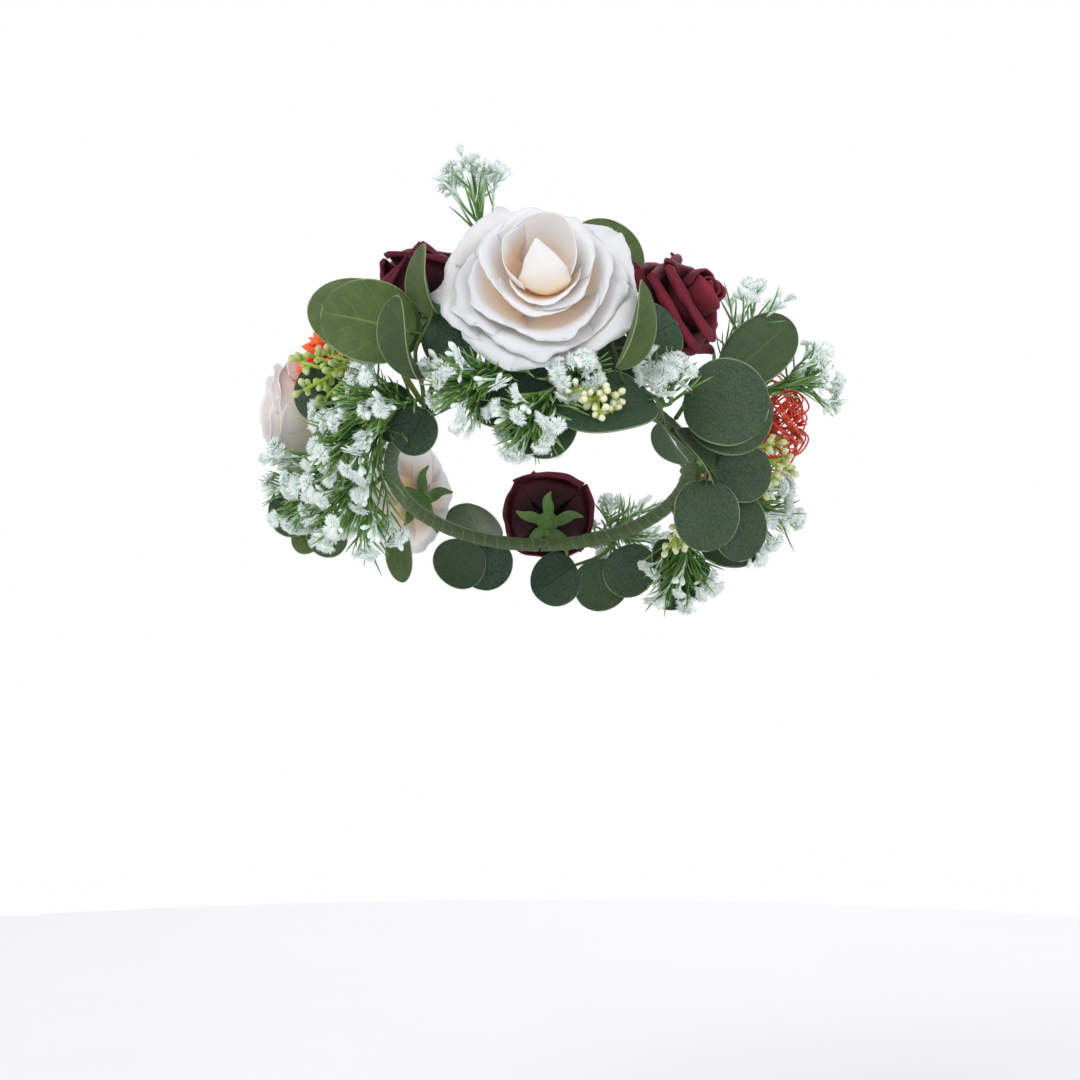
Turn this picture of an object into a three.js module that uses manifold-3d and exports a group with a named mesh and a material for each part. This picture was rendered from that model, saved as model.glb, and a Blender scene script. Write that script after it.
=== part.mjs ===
// A full flower crown on a taped wire hoop. Silk roses, foam roses, an orange dahlia, a pincushion
// flower, eucalyptus, gypsophila and berry picks are bound to an oval hoop that fits a head.
//
// Everything is laid out in the hoop's own frame: x to the right, y to the back, z straight up from
// the hoop's plane. The finished crown then leans back by WORN_TILT, as it sits on a head, with its
// origin in the middle of the head opening. Lengths are in millimetres, angles in degrees.
import * as THREE from "three";
import { mergeVertices } from "three/addons/utils/BufferGeometryUtils.js";
import Module from "manifold-3d";

const wasm = await Module();
wasm.setup();

// ---- Driving dimensions ---------------------------------------------------------------------
const WORN_TILT = 25; // how far the hoop's front is lifted
const HOOP_HALF_WIDTH = 82; // ear to ear, to the wire's centre
const HOOP_HALF_DEPTH = 98; // brow to nape, to the wire's centre
const WIRE_RADIUS = 1.4;
const TAPE_RADIUS = 4; // outside of the tape wound round the wire
const TAPE_HOLLOW = 1.8; // the room for the wire inside the tape
const TAPE_GAP = 0.5; // left open at each end of a run of tape
const CLEARANCE = 0.35; // kept between any two pieces
const STEM_OFFSET = 5.5; // from the wire out to the foot of a flower's stem, beside the tape
const STEM_RISE = 3; // from the hoop's plane up to that foot

const STEM_RADIUS = 1.6; // flower stems
const SPRIG_RADIUS = 1.2; // the main stems of the greenery
const TWIG_RADIUS = 0.9;
const CALYX_RADIUS = 7;
const CALYX_LENGTH = 11;
const LEAF_THICKNESS = 1.2;
const FLORET_RADIUS = 5.5;
const FLORET_LENGTH = 8;
const BERRY_RADIUS = 2.8;
const RIM_WAVE = 0.04; // how far a petal rim waves, as a share of its radius
const GOLDEN_ANGLE = 137.5; // between neighbouring twigs of a fan

// ---- Layout -----------------------------------------------------------------------------------
// A place is [angle round the hoop, distance out from the wire, height above the hoop's plane]. The
// angle is 0 at the front, 90 at the right and 180 at the back. A direction is [heading, lift].
const FLOWERS = [
  { name: "front_rose", kind: "open_rose", seat: [0, 21, 38], faces: [0, 8] },
  { name: "right_foam_rose", kind: "foam_rose", seat: [48, 1, 58], faces: [54, 10] },
  { name: "left_foam_rose", kind: "foam_rose", seat: [-42, 4, 57], faces: [-115, 64] },
  { name: "left_side_rose", kind: "small_rose", seat: [-89, 38, 31], faces: [-99, 4] },
  { name: "right_side_rose", kind: "small_rose", seat: [111, 14, 19], faces: [114, 8] },
  { name: "rear_left_rose", kind: "small_rose", seat: [-132, 12, 18], faces: [-136, 24] },
  { name: "rear_foam_rose", kind: "foam_rose", seat: [177, 6, 18], faces: [177, 45] },
  { name: "orange_dahlia", kind: "dahlia", seat: [-76, 31, 53], faces: [-52, 25] },
  { name: "pincushion", kind: "pincushion", seat: [90, 33, 29], faces: [85, -2] },
];

// Each spray has `ends` twigs that reach up to `reach` from its root and spread by `fan` degrees.
const GYPSOPHILA = [
  {
    name: "top_left", foot: [-20, 0, 5], root: [-20, -2, 78],
    points: [-34, 66], reach: 60, ends: 7, fan: 20,
  },
  { name: "front_left", foot: [-14, 2, 6], root: [-8, 15, 3], points: [-65, -34], reach: 47, ends: 6 },
  { name: "front", foot: [12, 6, -4], root: [5, 17, -10], points: [-72, -56], reach: 39, ends: 7 },
  { name: "front_right", foot: [10, 5, 3], root: [15, 12, 3], points: [-10, -18], reach: 30, ends: 5 },
  { name: "left_front", foot: [-38, 5, 2], root: [-41, 7, 2], points: [-66, 0], reach: 46, ends: 6 },
  { name: "left_middle", foot: [-50, 5, 2], root: [-54, 7, 2], points: [-78, -35], reach: 52, ends: 7 },
  {
    name: "left_drooping", foot: [-62, 5, -1], root: [-67, 7, -2],
    points: [-128, -59], reach: 62, ends: 7,
  },
  { name: "left_side", foot: [-78, 5, 2], root: [-83, 6, 0], points: [-98, -21], reach: 60, ends: 7 },
  { name: "right_front", foot: [38, 5, -2], root: [45, 13, -1], points: [-2, 4], reach: 39, ends: 7 },
  { name: "right_top", foot: [72, 6, 3], root: [70, 22, 44], points: [76, 53], reach: 50, ends: 7 },
  {
    name: "right_side", foot: [79, 5, 4], root: [76, 40, 31],
    points: [97, 18], reach: 46, ends: 6, fan: 30,
  },
  { name: "right_low", foot: [102, 5, -2], root: [101, 10, 0], points: [105, -18], reach: 54, ends: 6 },
  {
    name: "right_hanging", foot: [108, 5, -3], root: [108, 3, -14],
    points: [-170, -76], reach: 48, ends: 6, fan: 28,
  },
  { name: "rear", foot: [150, 5, 2], root: [156, 8, 8], points: [152, 20], reach: 50, ends: 6 },
];

const BERRIES = [
  { name: "left", foot: [-48, 1, 6], root: [-52, 16, 26], points: [-107, -4], reach: 52, ends: 7, fan: 26 },
  { name: "front", foot: [15, 6, -3], root: [18, 23, -5], points: [-30, -67], reach: 31, ends: 6 },
  { name: "right", foot: [82, 5, -3], root: [78, 18, 6], points: [114, -14], reach: 48, ends: 6 },
  { name: "right_low", foot: [92, 1, -6], root: [95, -6, -15], points: [128, -78], reach: 32, ends: 6 },
];

// Each leaf has the place of its base and tip, the way its upper side looks, and its width.
const EUCALYPTUS = [
  {
    name: "left_front",
    stem: [[-45, 4, -1], [-36, 21, -1], [-33, 35, 13], [-28, 38, 25], [-26, 40, 35]],
    leaves: [
      [[-32, 38, 21], [-45, 76, 29], [-10, -15], 44],
      [[-33, 32, 20], [-50, 74, 43], [-15, -9], 42],
      [[-27, 38, 28], [-27, 53, 62], [-65, -3], 30],
      [[-36, 24, -1], [-31, 67, 24], [-48, -11], 34],
      [[-32, 26, 11], [-20, 22, 24], [5, -5], 36],
    ],
  },
  {
    name: "front",
    stem: [[20, 5, -3], [25, 22, -6], [32, 28, -12], [40, 18, -18]],
    leaves: [
      [[31, 31, -15], [5, 26, -31], [6, 17], 44],
      [[-2, 11, -15], [5, 11, -46], [3, -37], 36],
      [[6, 13, -9], [-20, 23, -20], [-7, 1], 42],
      [[38, 16, -19], [49, 17, -35], [-64, -11], 22],
      [[19, 38, -7], [24, 49, 40], [66, -11], 30],
      [[20, 6, 7], [34, 8, 30], [24, 0], 34],
    ],
  },
  {
    name: "top",
    stem: [[30, 0, 5], [25, 16, 3], [23, 14, 20], [21, 3, 49], [19, -2, 61]],
    leaves: [
      [[17, -8, 57], [27, 13, 97], [20, 1], 46],
      [[28, 19, 20], [40, 29, 38], [18, -9], 34],
      [[20, -6, 57], [-4, -10, 103], [-9, 5], 42],
    ],
  },
  {
    name: "right_upper",
    stem: [[57, 4, 3], [50, 21, 4], [59, 25, 18], [68, 31, 31]],
    leaves: [
      [[47, 22, 5], [59, 56, -8], [16, -20], 47],
      [[53, 17, 7], [65, 52, -7], [20, -24], 46],
      [[66, 28, 29], [72, 62, 66], [12, -12], 34],
    ],
  },
  {
    name: "right_hanging",
    stem: [[57, 1, -4], [59, 14, -20], [66, 20, -29], [72, 20, -36]],
    leaves: [
      [[66, 20, -33], [53, 10, -8], [68, -10], 26],
      [[65, 20, -25], [72, 47, -26], [20, -24], 32],
      [[62, 17, -33], [68, 11, -68], [11, -21], 36],
      [[71, 25, -33], [79, 28, -66], [18, -24], 32],
    ],
  },
  {
    name: "right_low",
    stem: [[114, 0, -4], [114, 5, -17], [112, 12, -33]],
    leaves: [
      [[112, 19, -36], [119, -5, -62], [51, 16], 22],
      [[117, -4, -22], [121, 4, -50], [22, -23], 22],
      [[113, 16, -25], [109, 49, -25], [19, -4], 28],
    ],
  },
  {
    name: "left_low",
    stem: [[-97, 4, 5], [-100, 20, -8], [-102, 35, -16], [-103, 45, -20]],
    leaves: [
      [[-101, 45, -17], [-96, 67, -7], [-22, -23], 34],
      [[-104, 44, -23], [-104, 61, -27], [-10, -15], 18],
      [[-97, 37, -18], [-102, 37, -40], [-6, -25], 24],
      [[-120, 10, -11], [-126, 15, -38], [-32, -21], 18],
    ],
  },
  {
    name: "left_middle",
    stem: [[-62, 4, 1], [-59, 14, 6], [-63, 26, 12], [-65, 32, 16]],
    leaves: [
      [[-65, 32, 16], [-68, 59, 20], [-16, -19], 34],
      [[-43, 10, 3], [-55, 25, -6], [-15, -14], 36],
      [[-37, 9, -5], [-47, 11, -24], [-16, -24], 28],
    ],
  },
  {
    name: "rear_left",
    stem: [[-150, 5, 2], [-158, 14, 6], [-168, 18, 10]],
    leaves: [
      [[-154, 14, 4], [-152, 26, -22], [-150, -10], 34],
      [[-162, 18, 8], [-164, 34, -16], [-164, 5], 34],
      [[-160, 16, 9], [-158, 34, 38], [-155, 20], 36],
    ],
  },
  {
    name: "rear_right",
    stem: [[150, 4, -3], [158, 14, -4], [168, 18, -6]],
    leaves: [
      [[152, 12, -4], [146, 26, -28], [146, -8], 34],
      [[160, 16, -5], [160, 26, -34], [162, 0], 34],
      [[168, 18, -6], [182, 28, -18], [172, 5], 34],
    ],
  },
];

// Each kind of flower has its radius, its height from calyx to top, how many times its petal rims wave,
// and its petal layers as [radius, height] profiles in shares of the flower's own radius and height.
const KINDS = {
  open_rose: {
    material: "cream_silk",
    radius: 49,
    height: 42,
    lobes: 6,
    segments: 14,
    layers: {
      outer_petals: [[0.12, 0], [0.6, 0.06], [0.94, 0.16], [1, 0.3], [0.9, 0.3], [0.55, 0.15], [0.12, 0.1]],
      middle_petals: [
        [0.12, 0.13], [0.5, 0.2], [0.74, 0.36], [0.76, 0.5], [0.68, 0.46], [0.45, 0.28], [0.12, 0.2],
      ],
      inner_petals: [
        [0.12, 0.23], [0.36, 0.32], [0.53, 0.54], [0.5, 0.78], [0.44, 0.68], [0.3, 0.41], [0.12, 0.31],
      ],
      heart: [[0, 0.34], [0.2, 0.42], [0.36, 0.64], [0.3, 0.9], [0, 1]],
    },
  },
  small_rose: {
    material: "cream_silk",
    radius: 34,
    height: 34,
    lobes: 5,
    segments: 10,
    layers: {
      outer_petals: [
        [0.14, 0], [0.62, 0.1], [0.98, 0.4], [1, 0.62], [0.88, 0.56], [0.55, 0.25], [0.14, 0.14],
      ],
      inner_petals: [[0, 0.18], [0.48, 0.3], [0.74, 0.62], [0.68, 0.86], [0.3, 1], [0, 0.96]],
    },
  },
  foam_rose: {
    material: "burgundy_foam",
    radius: 35,
    height: 41,
    lobes: 5,
    segments: 10,
    layers: {
      outer_petals: [
        [0.14, 0], [0.6, 0.06], [0.96, 0.22], [1, 0.42], [0.86, 0.44], [0.55, 0.22], [0.14, 0.12],
      ],
      inner_petals: [[0, 0.16], [0.48, 0.28], [0.7, 0.56], [0.6, 0.84], [0.3, 1], [0, 0.97]],
    },
  },
  dahlia: {
    material: "orange_silk",
    radius: 30,
    height: 20,
    lobes: 0,
    segments: 10,
    layers: {
      outer_petals: [[0.2, 0], [0.75, 0.12], [1, 0.34], [0.9, 0.4], [0.6, 0.26], [0.2, 0.16]],
      inner_petals: [[0, 0.22], [0.5, 0.34], [0.74, 0.62], [0.5, 0.86], [0, 1]],
    },
  },
  pincushion: {
    material: "red_styles",
    radius: 29,
    height: 30,
    lobes: 0,
    segments: 10,
    layers: {
      styles: [[0.34, 0], [0.8, 0.2], [1, 0.5], [0.84, 0.88], [0.5, 1], [0.5, 0.5], [0.42, 0.3]],
      cone: [[0, 0.06], [0.26, 0.1], [0.32, 0.4], [0.18, 0.66], [0, 0.72]],
    },
  },
};

const MATERIALS = {
  wire: { color: 0x7d8078, roughness: 0.4, metalness: 0.9 },
  tape: { color: 0x3d5230, roughness: 0.85, metalness: 0 },
  stem: { color: 0x567a2e, roughness: 0.6, metalness: 0 },
  cream_silk: { color: 0xf8ece0, roughness: 0.75, metalness: 0 },
  burgundy_foam: { color: 0x6b1830, roughness: 0.8, metalness: 0 },
  orange_silk: { color: 0xf4501e, roughness: 0.7, metalness: 0 },
  red_styles: { color: 0xdd2f12, roughness: 0.5, metalness: 0 },
  eucalyptus: { color: 0x3c5c3c, roughness: 0.6, metalness: 0 },
  gypsophila: { color: 0xeef5f0, roughness: 0.6, metalness: 0 },
  berry: { color: 0xd9dfa2, roughness: 0.5, metalness: 0 },
};
for (const [name, values] of Object.entries(MATERIALS))
  MATERIALS[name] = new THREE.MeshStandardMaterial({ name, ...values });

// ---- Places and directions --------------------------------------------------------------------
const radians = THREE.MathUtils.degToRad;
const UP = new THREE.Vector3(0, 0, 1);

function at([angle, out, up]) {
  const a = radians(angle);
  return new THREE.Vector3((HOOP_HALF_WIDTH + out) * Math.sin(a), -(HOOP_HALF_DEPTH + out) * Math.cos(a), up);
}

function heading([turn, lift]) {
  const t = radians(turn);
  const l = radians(lift);
  return new THREE.Vector3(Math.sin(t) * Math.cos(l), -Math.cos(t) * Math.cos(l), Math.sin(l));
}

// The point a length along a direction from another point.
const along = (from, direction, length) => from.clone().addScaledVector(direction, length);

// Moves a shape built about the origin, with its axis on z, to a place where the axis follows a direction.
function standing(place, direction) {
  const turn = new THREE.Quaternion().setFromUnitVectors(UP, direction);
  return new THREE.Matrix4().compose(place, turn, new THREE.Vector3(1, 1, 1));
}

// ---- Solids -----------------------------------------------------------------------------------
function solidOf(geometry, matrix = new THREE.Matrix4()) {
  const plain = geometry.clone().applyMatrix4(matrix);
  plain.deleteAttribute("normal");
  plain.deleteAttribute("uv");
  const merged = mergeVertices(plain, 1e-4);
  return new wasm.Manifold(
    new wasm.Mesh({
      numProp: 3,
      vertProperties: new Float32Array(merged.attributes.position.array),
      triVerts: new Uint32Array(merged.index.array),
    }),
  );
}

function geometryOf(solid, origin) {
  const mesh = solid.getMesh();
  const vertices = new Float32Array(mesh.numVert * 3);
  for (let i = 0; i < mesh.numVert; i++)
    vertices.set(mesh.vertProperties.subarray(i * mesh.numProp, i * mesh.numProp + 3), i * 3);
  return new THREE.BufferGeometry()
    .setAttribute("position", new THREE.BufferAttribute(vertices, 3))
    .setIndex(new THREE.BufferAttribute(mesh.triVerts, 1))
    .translate(-origin.x, -origin.y, -origin.z);
}

const joined = (solids) => solids.reduce((all, one) => all.add(one));

// A bar with a round section along a smooth curve.
function bar(curve, radius, sides, steps) {
  const section = new THREE.Shape(
    Array.from({ length: sides }, (_, i) => {
      const a = (2 * Math.PI * i) / sides;
      return new THREE.Vector2(radius * Math.cos(a), radius * Math.sin(a));
    }),
  );
  return solidOf(new THREE.ExtrudeGeometry(section, { steps, extrudePath: curve }));
}

// A solid of revolution about z whose rim waves in and out `lobes` times.
function turned(profile, segments, lobes, matrix) {
  const points = profile.map(([r, z]) => new THREE.Vector2(r, z));
  if (profile[0][0] > 0) points.push(points[0]);
  const geometry = new THREE.LatheGeometry(points, segments);
  const position = geometry.attributes.position;
  const widest = Math.max(...profile.map(([r]) => r));
  for (let i = 0; i < position.count; i++) {
    const x = position.getX(i);
    const z = position.getZ(i);
    const share = Math.hypot(x, z) / widest;
    const scale = 1 + RIM_WAVE * share * share * Math.cos(lobes * Math.atan2(x, z));
    position.setX(i, x * (lobes ? scale : 1));
    position.setZ(i, z * (lobes ? scale : 1));
  }
  geometry.rotateX(Math.PI / 2);
  return solidOf(geometry, matrix);
}

// A twig from one point to another. `swell` is the shape of its far end, as [radius, distance back
// from the tip] pairs.
function twig(from, to, radius, swell = [[radius, 0]], sides = 3) {
  const direction = to.clone().sub(from);
  const length = direction.length();
  const profile = [[0, 0], [radius, 0], ...swell.map(([r, back]) => [r, length - back]), [0, length]];
  return turned(profile, sides, 0, standing(from, direction.normalize()));
}

// ---- The assembly -----------------------------------------------------------------------------
const crown = new THREE.Group();
crown.rotation.x = radians(-WORN_TILT);
const rooms = []; // what the earlier pieces fill, grown by the clearance

function boxOf(solid) {
  const { min, max } = solid.boundingBox();
  return new THREE.Box3(new THREE.Vector3(...min), new THREE.Vector3(...max));
}

function reserve(solid) {
  rooms.push({ solid, box: boxOf(solid) });
}

// Adds a piece, cut clear of every room reserved so far. Scraps that the cuts leave loose are dropped.
function add(name, material, origin, solid) {
  const box = boxOf(solid);
  let kept = solid;
  for (const room of rooms) if (box.intersectsBox(room.box)) kept = kept.subtract(room.solid);
  const bodies = kept.decompose().sort((a, b) => b.volume() - a.volume());
  const mesh = new THREE.Mesh(geometryOf(bodies[0].simplify(0.05), origin), MATERIALS[material]);
  mesh.name = name;
  mesh.position.copy(origin);
  crown.add(mesh);
}

// Adds a piece made by `build(extra)`, which returns it `extra` thicker all round, and keeps its room.
function addThin(name, material, origin, build) {
  add(name, material, origin, build(0));
  reserve(build(CLEARANCE));
}

// ---- Hoop -------------------------------------------------------------------------------------
// A torus stretched to the hoop's oval, its section kept round.
function ovalRing(radius, sides, steps) {
  const geometry = new THREE.TorusGeometry(HOOP_HALF_DEPTH, radius, sides, steps);
  const position = geometry.attributes.position;
  for (let i = 0; i < position.count; i++) {
    const angle = Math.atan2(position.getX(i), -position.getY(i));
    const out = Math.hypot(position.getX(i), position.getY(i)) - HOOP_HALF_DEPTH;
    const point = at([THREE.MathUtils.radToDeg(angle), out, position.getZ(i)]);
    position.setXYZ(i, point.x, point.y, point.z);
  }
  return solidOf(geometry);
}

// The steel wire, and the floral tape wound round it in two runs that meet at the front and back.
function addHoop() {
  const wire = ovalRing(WIRE_RADIUS, 5, 32);
  const hollow = ovalRing(TAPE_HOLLOW, 5, 32);
  const tape = ovalRing(TAPE_RADIUS, 8, 32).subtract(hollow);
  const halves = [["tape_wrap_right", 1], ["tape_wrap_left", -1]];
  add("hoop_wire", "wire", new THREE.Vector3(), wire);
  for (const [name, side] of halves)
    add(name, "tape", at([side * 90, 0, 0]), tape.trimByPlane([side, 0, 0], TAPE_GAP));
  reserve(ovalRing(TAPE_RADIUS + CLEARANCE, 8, 32));
}

// ---- Flowers ----------------------------------------------------------------------------------
// The calyx below the petals, as [share of its radius, share of its length].
const CALYX = [[0, -1], [0.3, -0.9], [1, -0.15], [0, -0.04]];

// Adds a flower: its calyx and stem in one, then its layers of petals, each nested in the one before.
function addFlower({ name, kind, seat, faces }) {
  const { material, radius, height, lobes, segments, layers } = KINDS[kind];
  const origin = at(seat);
  const direction = heading(faces);
  const matrix = standing(origin, direction);
  const foot = at([seat[0], STEM_OFFSET, STEM_RISE]);
  const bend = along(origin, direction, -2 * CALYX_LENGTH).lerp(foot, 0.4);
  const neck = along(origin, direction, -CALYX_LENGTH / 2);
  const flower = [];

  const stem = (extra) => {
    const calyx = turned(CALYX.map(([r, z]) => [r * CALYX_RADIUS, z * CALYX_LENGTH]), 6, 0, matrix);
    return calyx.add(bar(new THREE.CatmullRomCurve3([neck, bend, foot]), STEM_RADIUS + extra, 4, 4));
  };
  add(`${name}_stem`, "stem", origin, stem(0));
  for (const [layer, shares] of Object.entries(layers)) {
    const petals = turned(shares.map(([r, z]) => [r * radius, z * height]), segments, lobes, matrix);
    add(`${name}_${layer}`, material, origin, petals);
    flower.push(petals);
  }
  const skin = wasm.Manifold.cube([2 * CLEARANCE, 2 * CLEARANCE, 2 * CLEARANCE], true);
  reserve(joined(flower).hull().minkowskiSum(skin));
  reserve(stem(CLEARANCE));
}

// ---- Sprays -----------------------------------------------------------------------------------
// A spray's stem runs from its foot on the hoop to its root, and on along its axis. Its twigs leave the
// stem one after another in a spiral, the last ones straightest and longest.
const FAN = 35; // half the spread of a spray that states none
const FAN_START = 0.3; // where the first twig leaves the stem, as a share of the spray's reach
const FAN_STEP = 0.35; // how much further along the last twig leaves it

function sprayTwigs({ root, points, reach, fan = FAN }, count) {
  const base = at(root);
  const axis = heading(points);
  const matrix = standing(new THREE.Vector3(), axis);
  return Array.from({ length: count }, (_, i) => {
    const share = (i + 0.5) / count;
    const lean = radians(fan * Math.sqrt(1 - share));
    const turn = radians(GOLDEN_ANGLE * i);
    const direction = new THREE.Vector3(
      Math.sin(lean) * Math.cos(turn),
      Math.sin(lean) * Math.sin(turn),
      Math.cos(lean),
    ).applyMatrix4(matrix);
    const start = along(base, axis, reach * (FAN_START + FAN_STEP * share));
    const tip = along(base, direction, reach * (0.8 + 0.2 * share));
    return { start, tip };
  });
}

// The far end of a twig, for `twig`, grown by `extra`: a floret that flares open, or a berry.
const floret = (extra) => [
  [TWIG_RADIUS + extra, FLORET_LENGTH],
  [FLORET_RADIUS + extra, -extra],
];
const berry = (extra) => [
  [TWIG_RADIUS + extra, 3 * BERRY_RADIUS],
  [BERRY_RADIUS + extra, 1.5 * BERRY_RADIUS],
  [0.6 * BERRY_RADIUS + extra, -extra],
];

function addSpray(prefix, material, layout, swell) {
  const { name, foot, root, points, reach, ends } = layout;
  const base = at(root);
  const axis = heading(points);
  const far = along(base, axis, reach * (FAN_START + FAN_STEP));
  const path = new THREE.CatmullRomCurve3([at(foot), base, far]);
  addThin(`${prefix}_${name}`, material, base, (extra) =>
    joined([
      bar(path, SPRIG_RADIUS + extra, 3, 4),
      ...sprayTwigs(layout, ends).map(({ start, tip }) =>
        twig(start, tip, TWIG_RADIUS + extra, swell(extra), 4),
      ),
    ]),
  );
}

// ---- Eucalyptus -------------------------------------------------------------------------------
const STEM_STEPS = 6; // straight lengths in a sprig's stem
const STALK_INSET = 0.25; // how far a leaf's stalk runs into its blade, as a share of the length
// A round leaf blade with a blunt tip, as [share of length, share of half width] down one side.
const BLADE = [[0, 0], [0.1, 0.52], [0.36, 0.98], [0.68, 0.92], [0.93, 0.46], [1, 0]];

// A leaf's blade, and the stalk that joins it to the nearest joint of the sprig's stem.
function leaf([base, tip, faces, width], stemCurve, extra) {
  const start = at(base);
  const length = start.distanceTo(at(tip));
  const spine = at(tip).sub(start).normalize();
  const side = new THREE.Vector3().crossVectors(spine, heading(faces)).normalize();
  const face = new THREE.Vector3().crossVectors(side, spine);
  const outline = [
    ...BLADE.map(([l, w]) => new THREE.Vector2((w * width) / 2, l * length)),
    ...BLADE.slice(1, -1).reverse().map(([l, w]) => new THREE.Vector2((-w * width) / 2, l * length)),
  ];
  const grown = outline.map((p) => p.clone().multiplyScalar(1 + (2 * extra) / width));
  const thickness = LEAF_THICKNESS + 2 * extra;
  const blade = new THREE.ExtrudeGeometry(new THREE.Shape(grown), { depth: thickness, bevelEnabled: false });
  blade.translate(0, 0, -thickness / 2);
  const frame = new THREE.Matrix4().makeBasis(side, spine, face).setPosition(start);
  const byDistance = (a, b) => a.distanceTo(start) - b.distanceTo(start);
  const nearest = stemCurve.getSpacedPoints(STEM_STEPS).sort(byDistance)[0];
  const stalkEnd = along(start, spine, length * STALK_INSET);
  return [solidOf(blade, frame), twig(nearest, stalkEnd, TWIG_RADIUS + extra)];
}

function addSprig({ name, stem, leaves }) {
  const points = stem.map(at);
  const curve = new THREE.CatmullRomCurve3(points);
  addThin(`eucalyptus_${name}`, "eucalyptus", points[0], (extra) =>
    joined([
      bar(curve, SPRIG_RADIUS + extra, 4, STEM_STEPS),
      ...leaves.flatMap((one) => leaf(one, curve, extra)),
    ]),
  );
}

addHoop();
FLOWERS.forEach(addFlower);
GYPSOPHILA.forEach((layout) => addSpray("gypsophila", "gypsophila", layout, floret));
BERRIES.forEach((layout) => addSpray("berry_pick", "berry", layout, berry));
EUCALYPTUS.forEach(addSprig);

export default crown;
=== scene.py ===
import math

import bpy
import numpy as np
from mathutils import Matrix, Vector


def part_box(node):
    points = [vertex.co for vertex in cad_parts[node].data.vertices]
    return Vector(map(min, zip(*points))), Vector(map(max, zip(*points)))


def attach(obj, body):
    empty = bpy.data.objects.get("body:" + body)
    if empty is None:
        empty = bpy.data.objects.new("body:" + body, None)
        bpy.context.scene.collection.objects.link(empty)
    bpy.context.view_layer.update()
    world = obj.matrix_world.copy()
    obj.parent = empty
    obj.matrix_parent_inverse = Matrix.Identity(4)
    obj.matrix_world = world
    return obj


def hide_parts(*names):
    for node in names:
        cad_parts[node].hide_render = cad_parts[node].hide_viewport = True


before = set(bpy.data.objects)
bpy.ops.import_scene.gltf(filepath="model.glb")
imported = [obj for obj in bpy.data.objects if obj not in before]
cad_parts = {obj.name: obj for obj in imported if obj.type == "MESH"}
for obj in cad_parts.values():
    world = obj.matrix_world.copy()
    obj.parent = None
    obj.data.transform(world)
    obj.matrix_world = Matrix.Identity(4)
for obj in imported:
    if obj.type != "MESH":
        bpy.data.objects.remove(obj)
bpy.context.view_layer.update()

# The crown as it is worn, in metres: x to the right seen from the front, y to the back, z up.
MM = 0.001
rng = np.random.default_rng(11)

# ---- The hoop, measured on its CAD wire ----
WIRE_RADIUS = 1.4 * MM
TAPE_RADIUS = 4.0 * MM
wire_low, wire_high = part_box("hoop_wire")
HALF_WIDTH = (wire_high.x - wire_low.x) / 2 - WIRE_RADIUS
RUN = (wire_high.y - wire_low.y) / 2 - WIRE_RADIUS
RISE = (wire_high.z - wire_low.z) / 2 - WIRE_RADIUS
HALF_DEPTH = math.hypot(RUN, RISE)
TILT = math.atan2(RISE, RUN)
CENTRE = np.array((wire_low + wire_high) / 2)


def lean(v):
    """Hoop directions (x right, y back, z off the hoop's plane) to the frame's directions."""
    x, y, z = np.asarray(v, float)
    return np.array([x, y * math.cos(TILT) + z * math.sin(TILT), z * math.cos(TILT) - y * math.sin(TILT)])


def at(angle, out, up):
    """A place by degrees round the hoop from the front, mm outwards and mm above its plane."""
    a = math.radians(angle)
    x = (HALF_WIDTH + out * MM) * math.sin(a)
    y = -(HALF_DEPTH + out * MM) * math.cos(a)
    return CENTRE + lean([x, y, up * MM])


def heading(turn, lift):
    """A direction by degrees round the hoop from the front, and degrees above its plane."""
    t, l = math.radians(turn), math.radians(lift)
    return lean([math.sin(t) * math.cos(l), -math.cos(t) * math.cos(l), math.sin(l)])


def unit(v):
    v = np.asarray(v, float)
    return v / np.maximum(np.linalg.norm(v, axis=-1, keepdims=True), 1e-12)


def place_object(name, data):
    obj = bpy.data.objects.new(name, data)
    bpy.context.collection.objects.link(obj)
    return obj


# ---- Camera: level, straight at the front, from the height of the face below the crown ----
CAMERA_DISTANCE = 1.4
CAMERA_HEIGHT = -0.0385
FRAME_WIDTH = 0.594  # what the picture spans at the crown's middle
SENSOR = 36.0
camera_data = bpy.data.cameras.new("camera")
camera_data.sensor_width = SENSOR
camera_data.lens = SENSOR * CAMERA_DISTANCE / FRAME_WIDTH
camera = place_object("camera", camera_data)
camera.location = (0, -CAMERA_DISTANCE, CAMERA_HEIGHT)
camera.rotation_euler = (math.pi / 2, 0, 0)
bpy.context.scene.camera = camera

# ---- Layout, as in the CAD: places are (angle, out, up), directions are (turn, lift) ----
FLOWERS = {
    "front_rose": ((0, 21, 38), (0, 8)),
    "right_foam_rose": ((48, 1, 58), (54, 10)),
    "left_foam_rose": ((-42, 4, 57), (-115, 64)),
    "left_side_rose": ((-89, 38, 31), (-99, 4)),
    "right_side_rose": ((111, 14, 19), (114, 8)),
    "rear_left_rose": ((-132, 12, 18), (-136, 24)),
    "rear_foam_rose": ((177, 6, 18), (177, 45)),
    "orange_dahlia": ((-76, 31, 53), (-52, 25)),
    "pincushion": ((90, 33, 29), (85, -2)),
}
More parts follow.
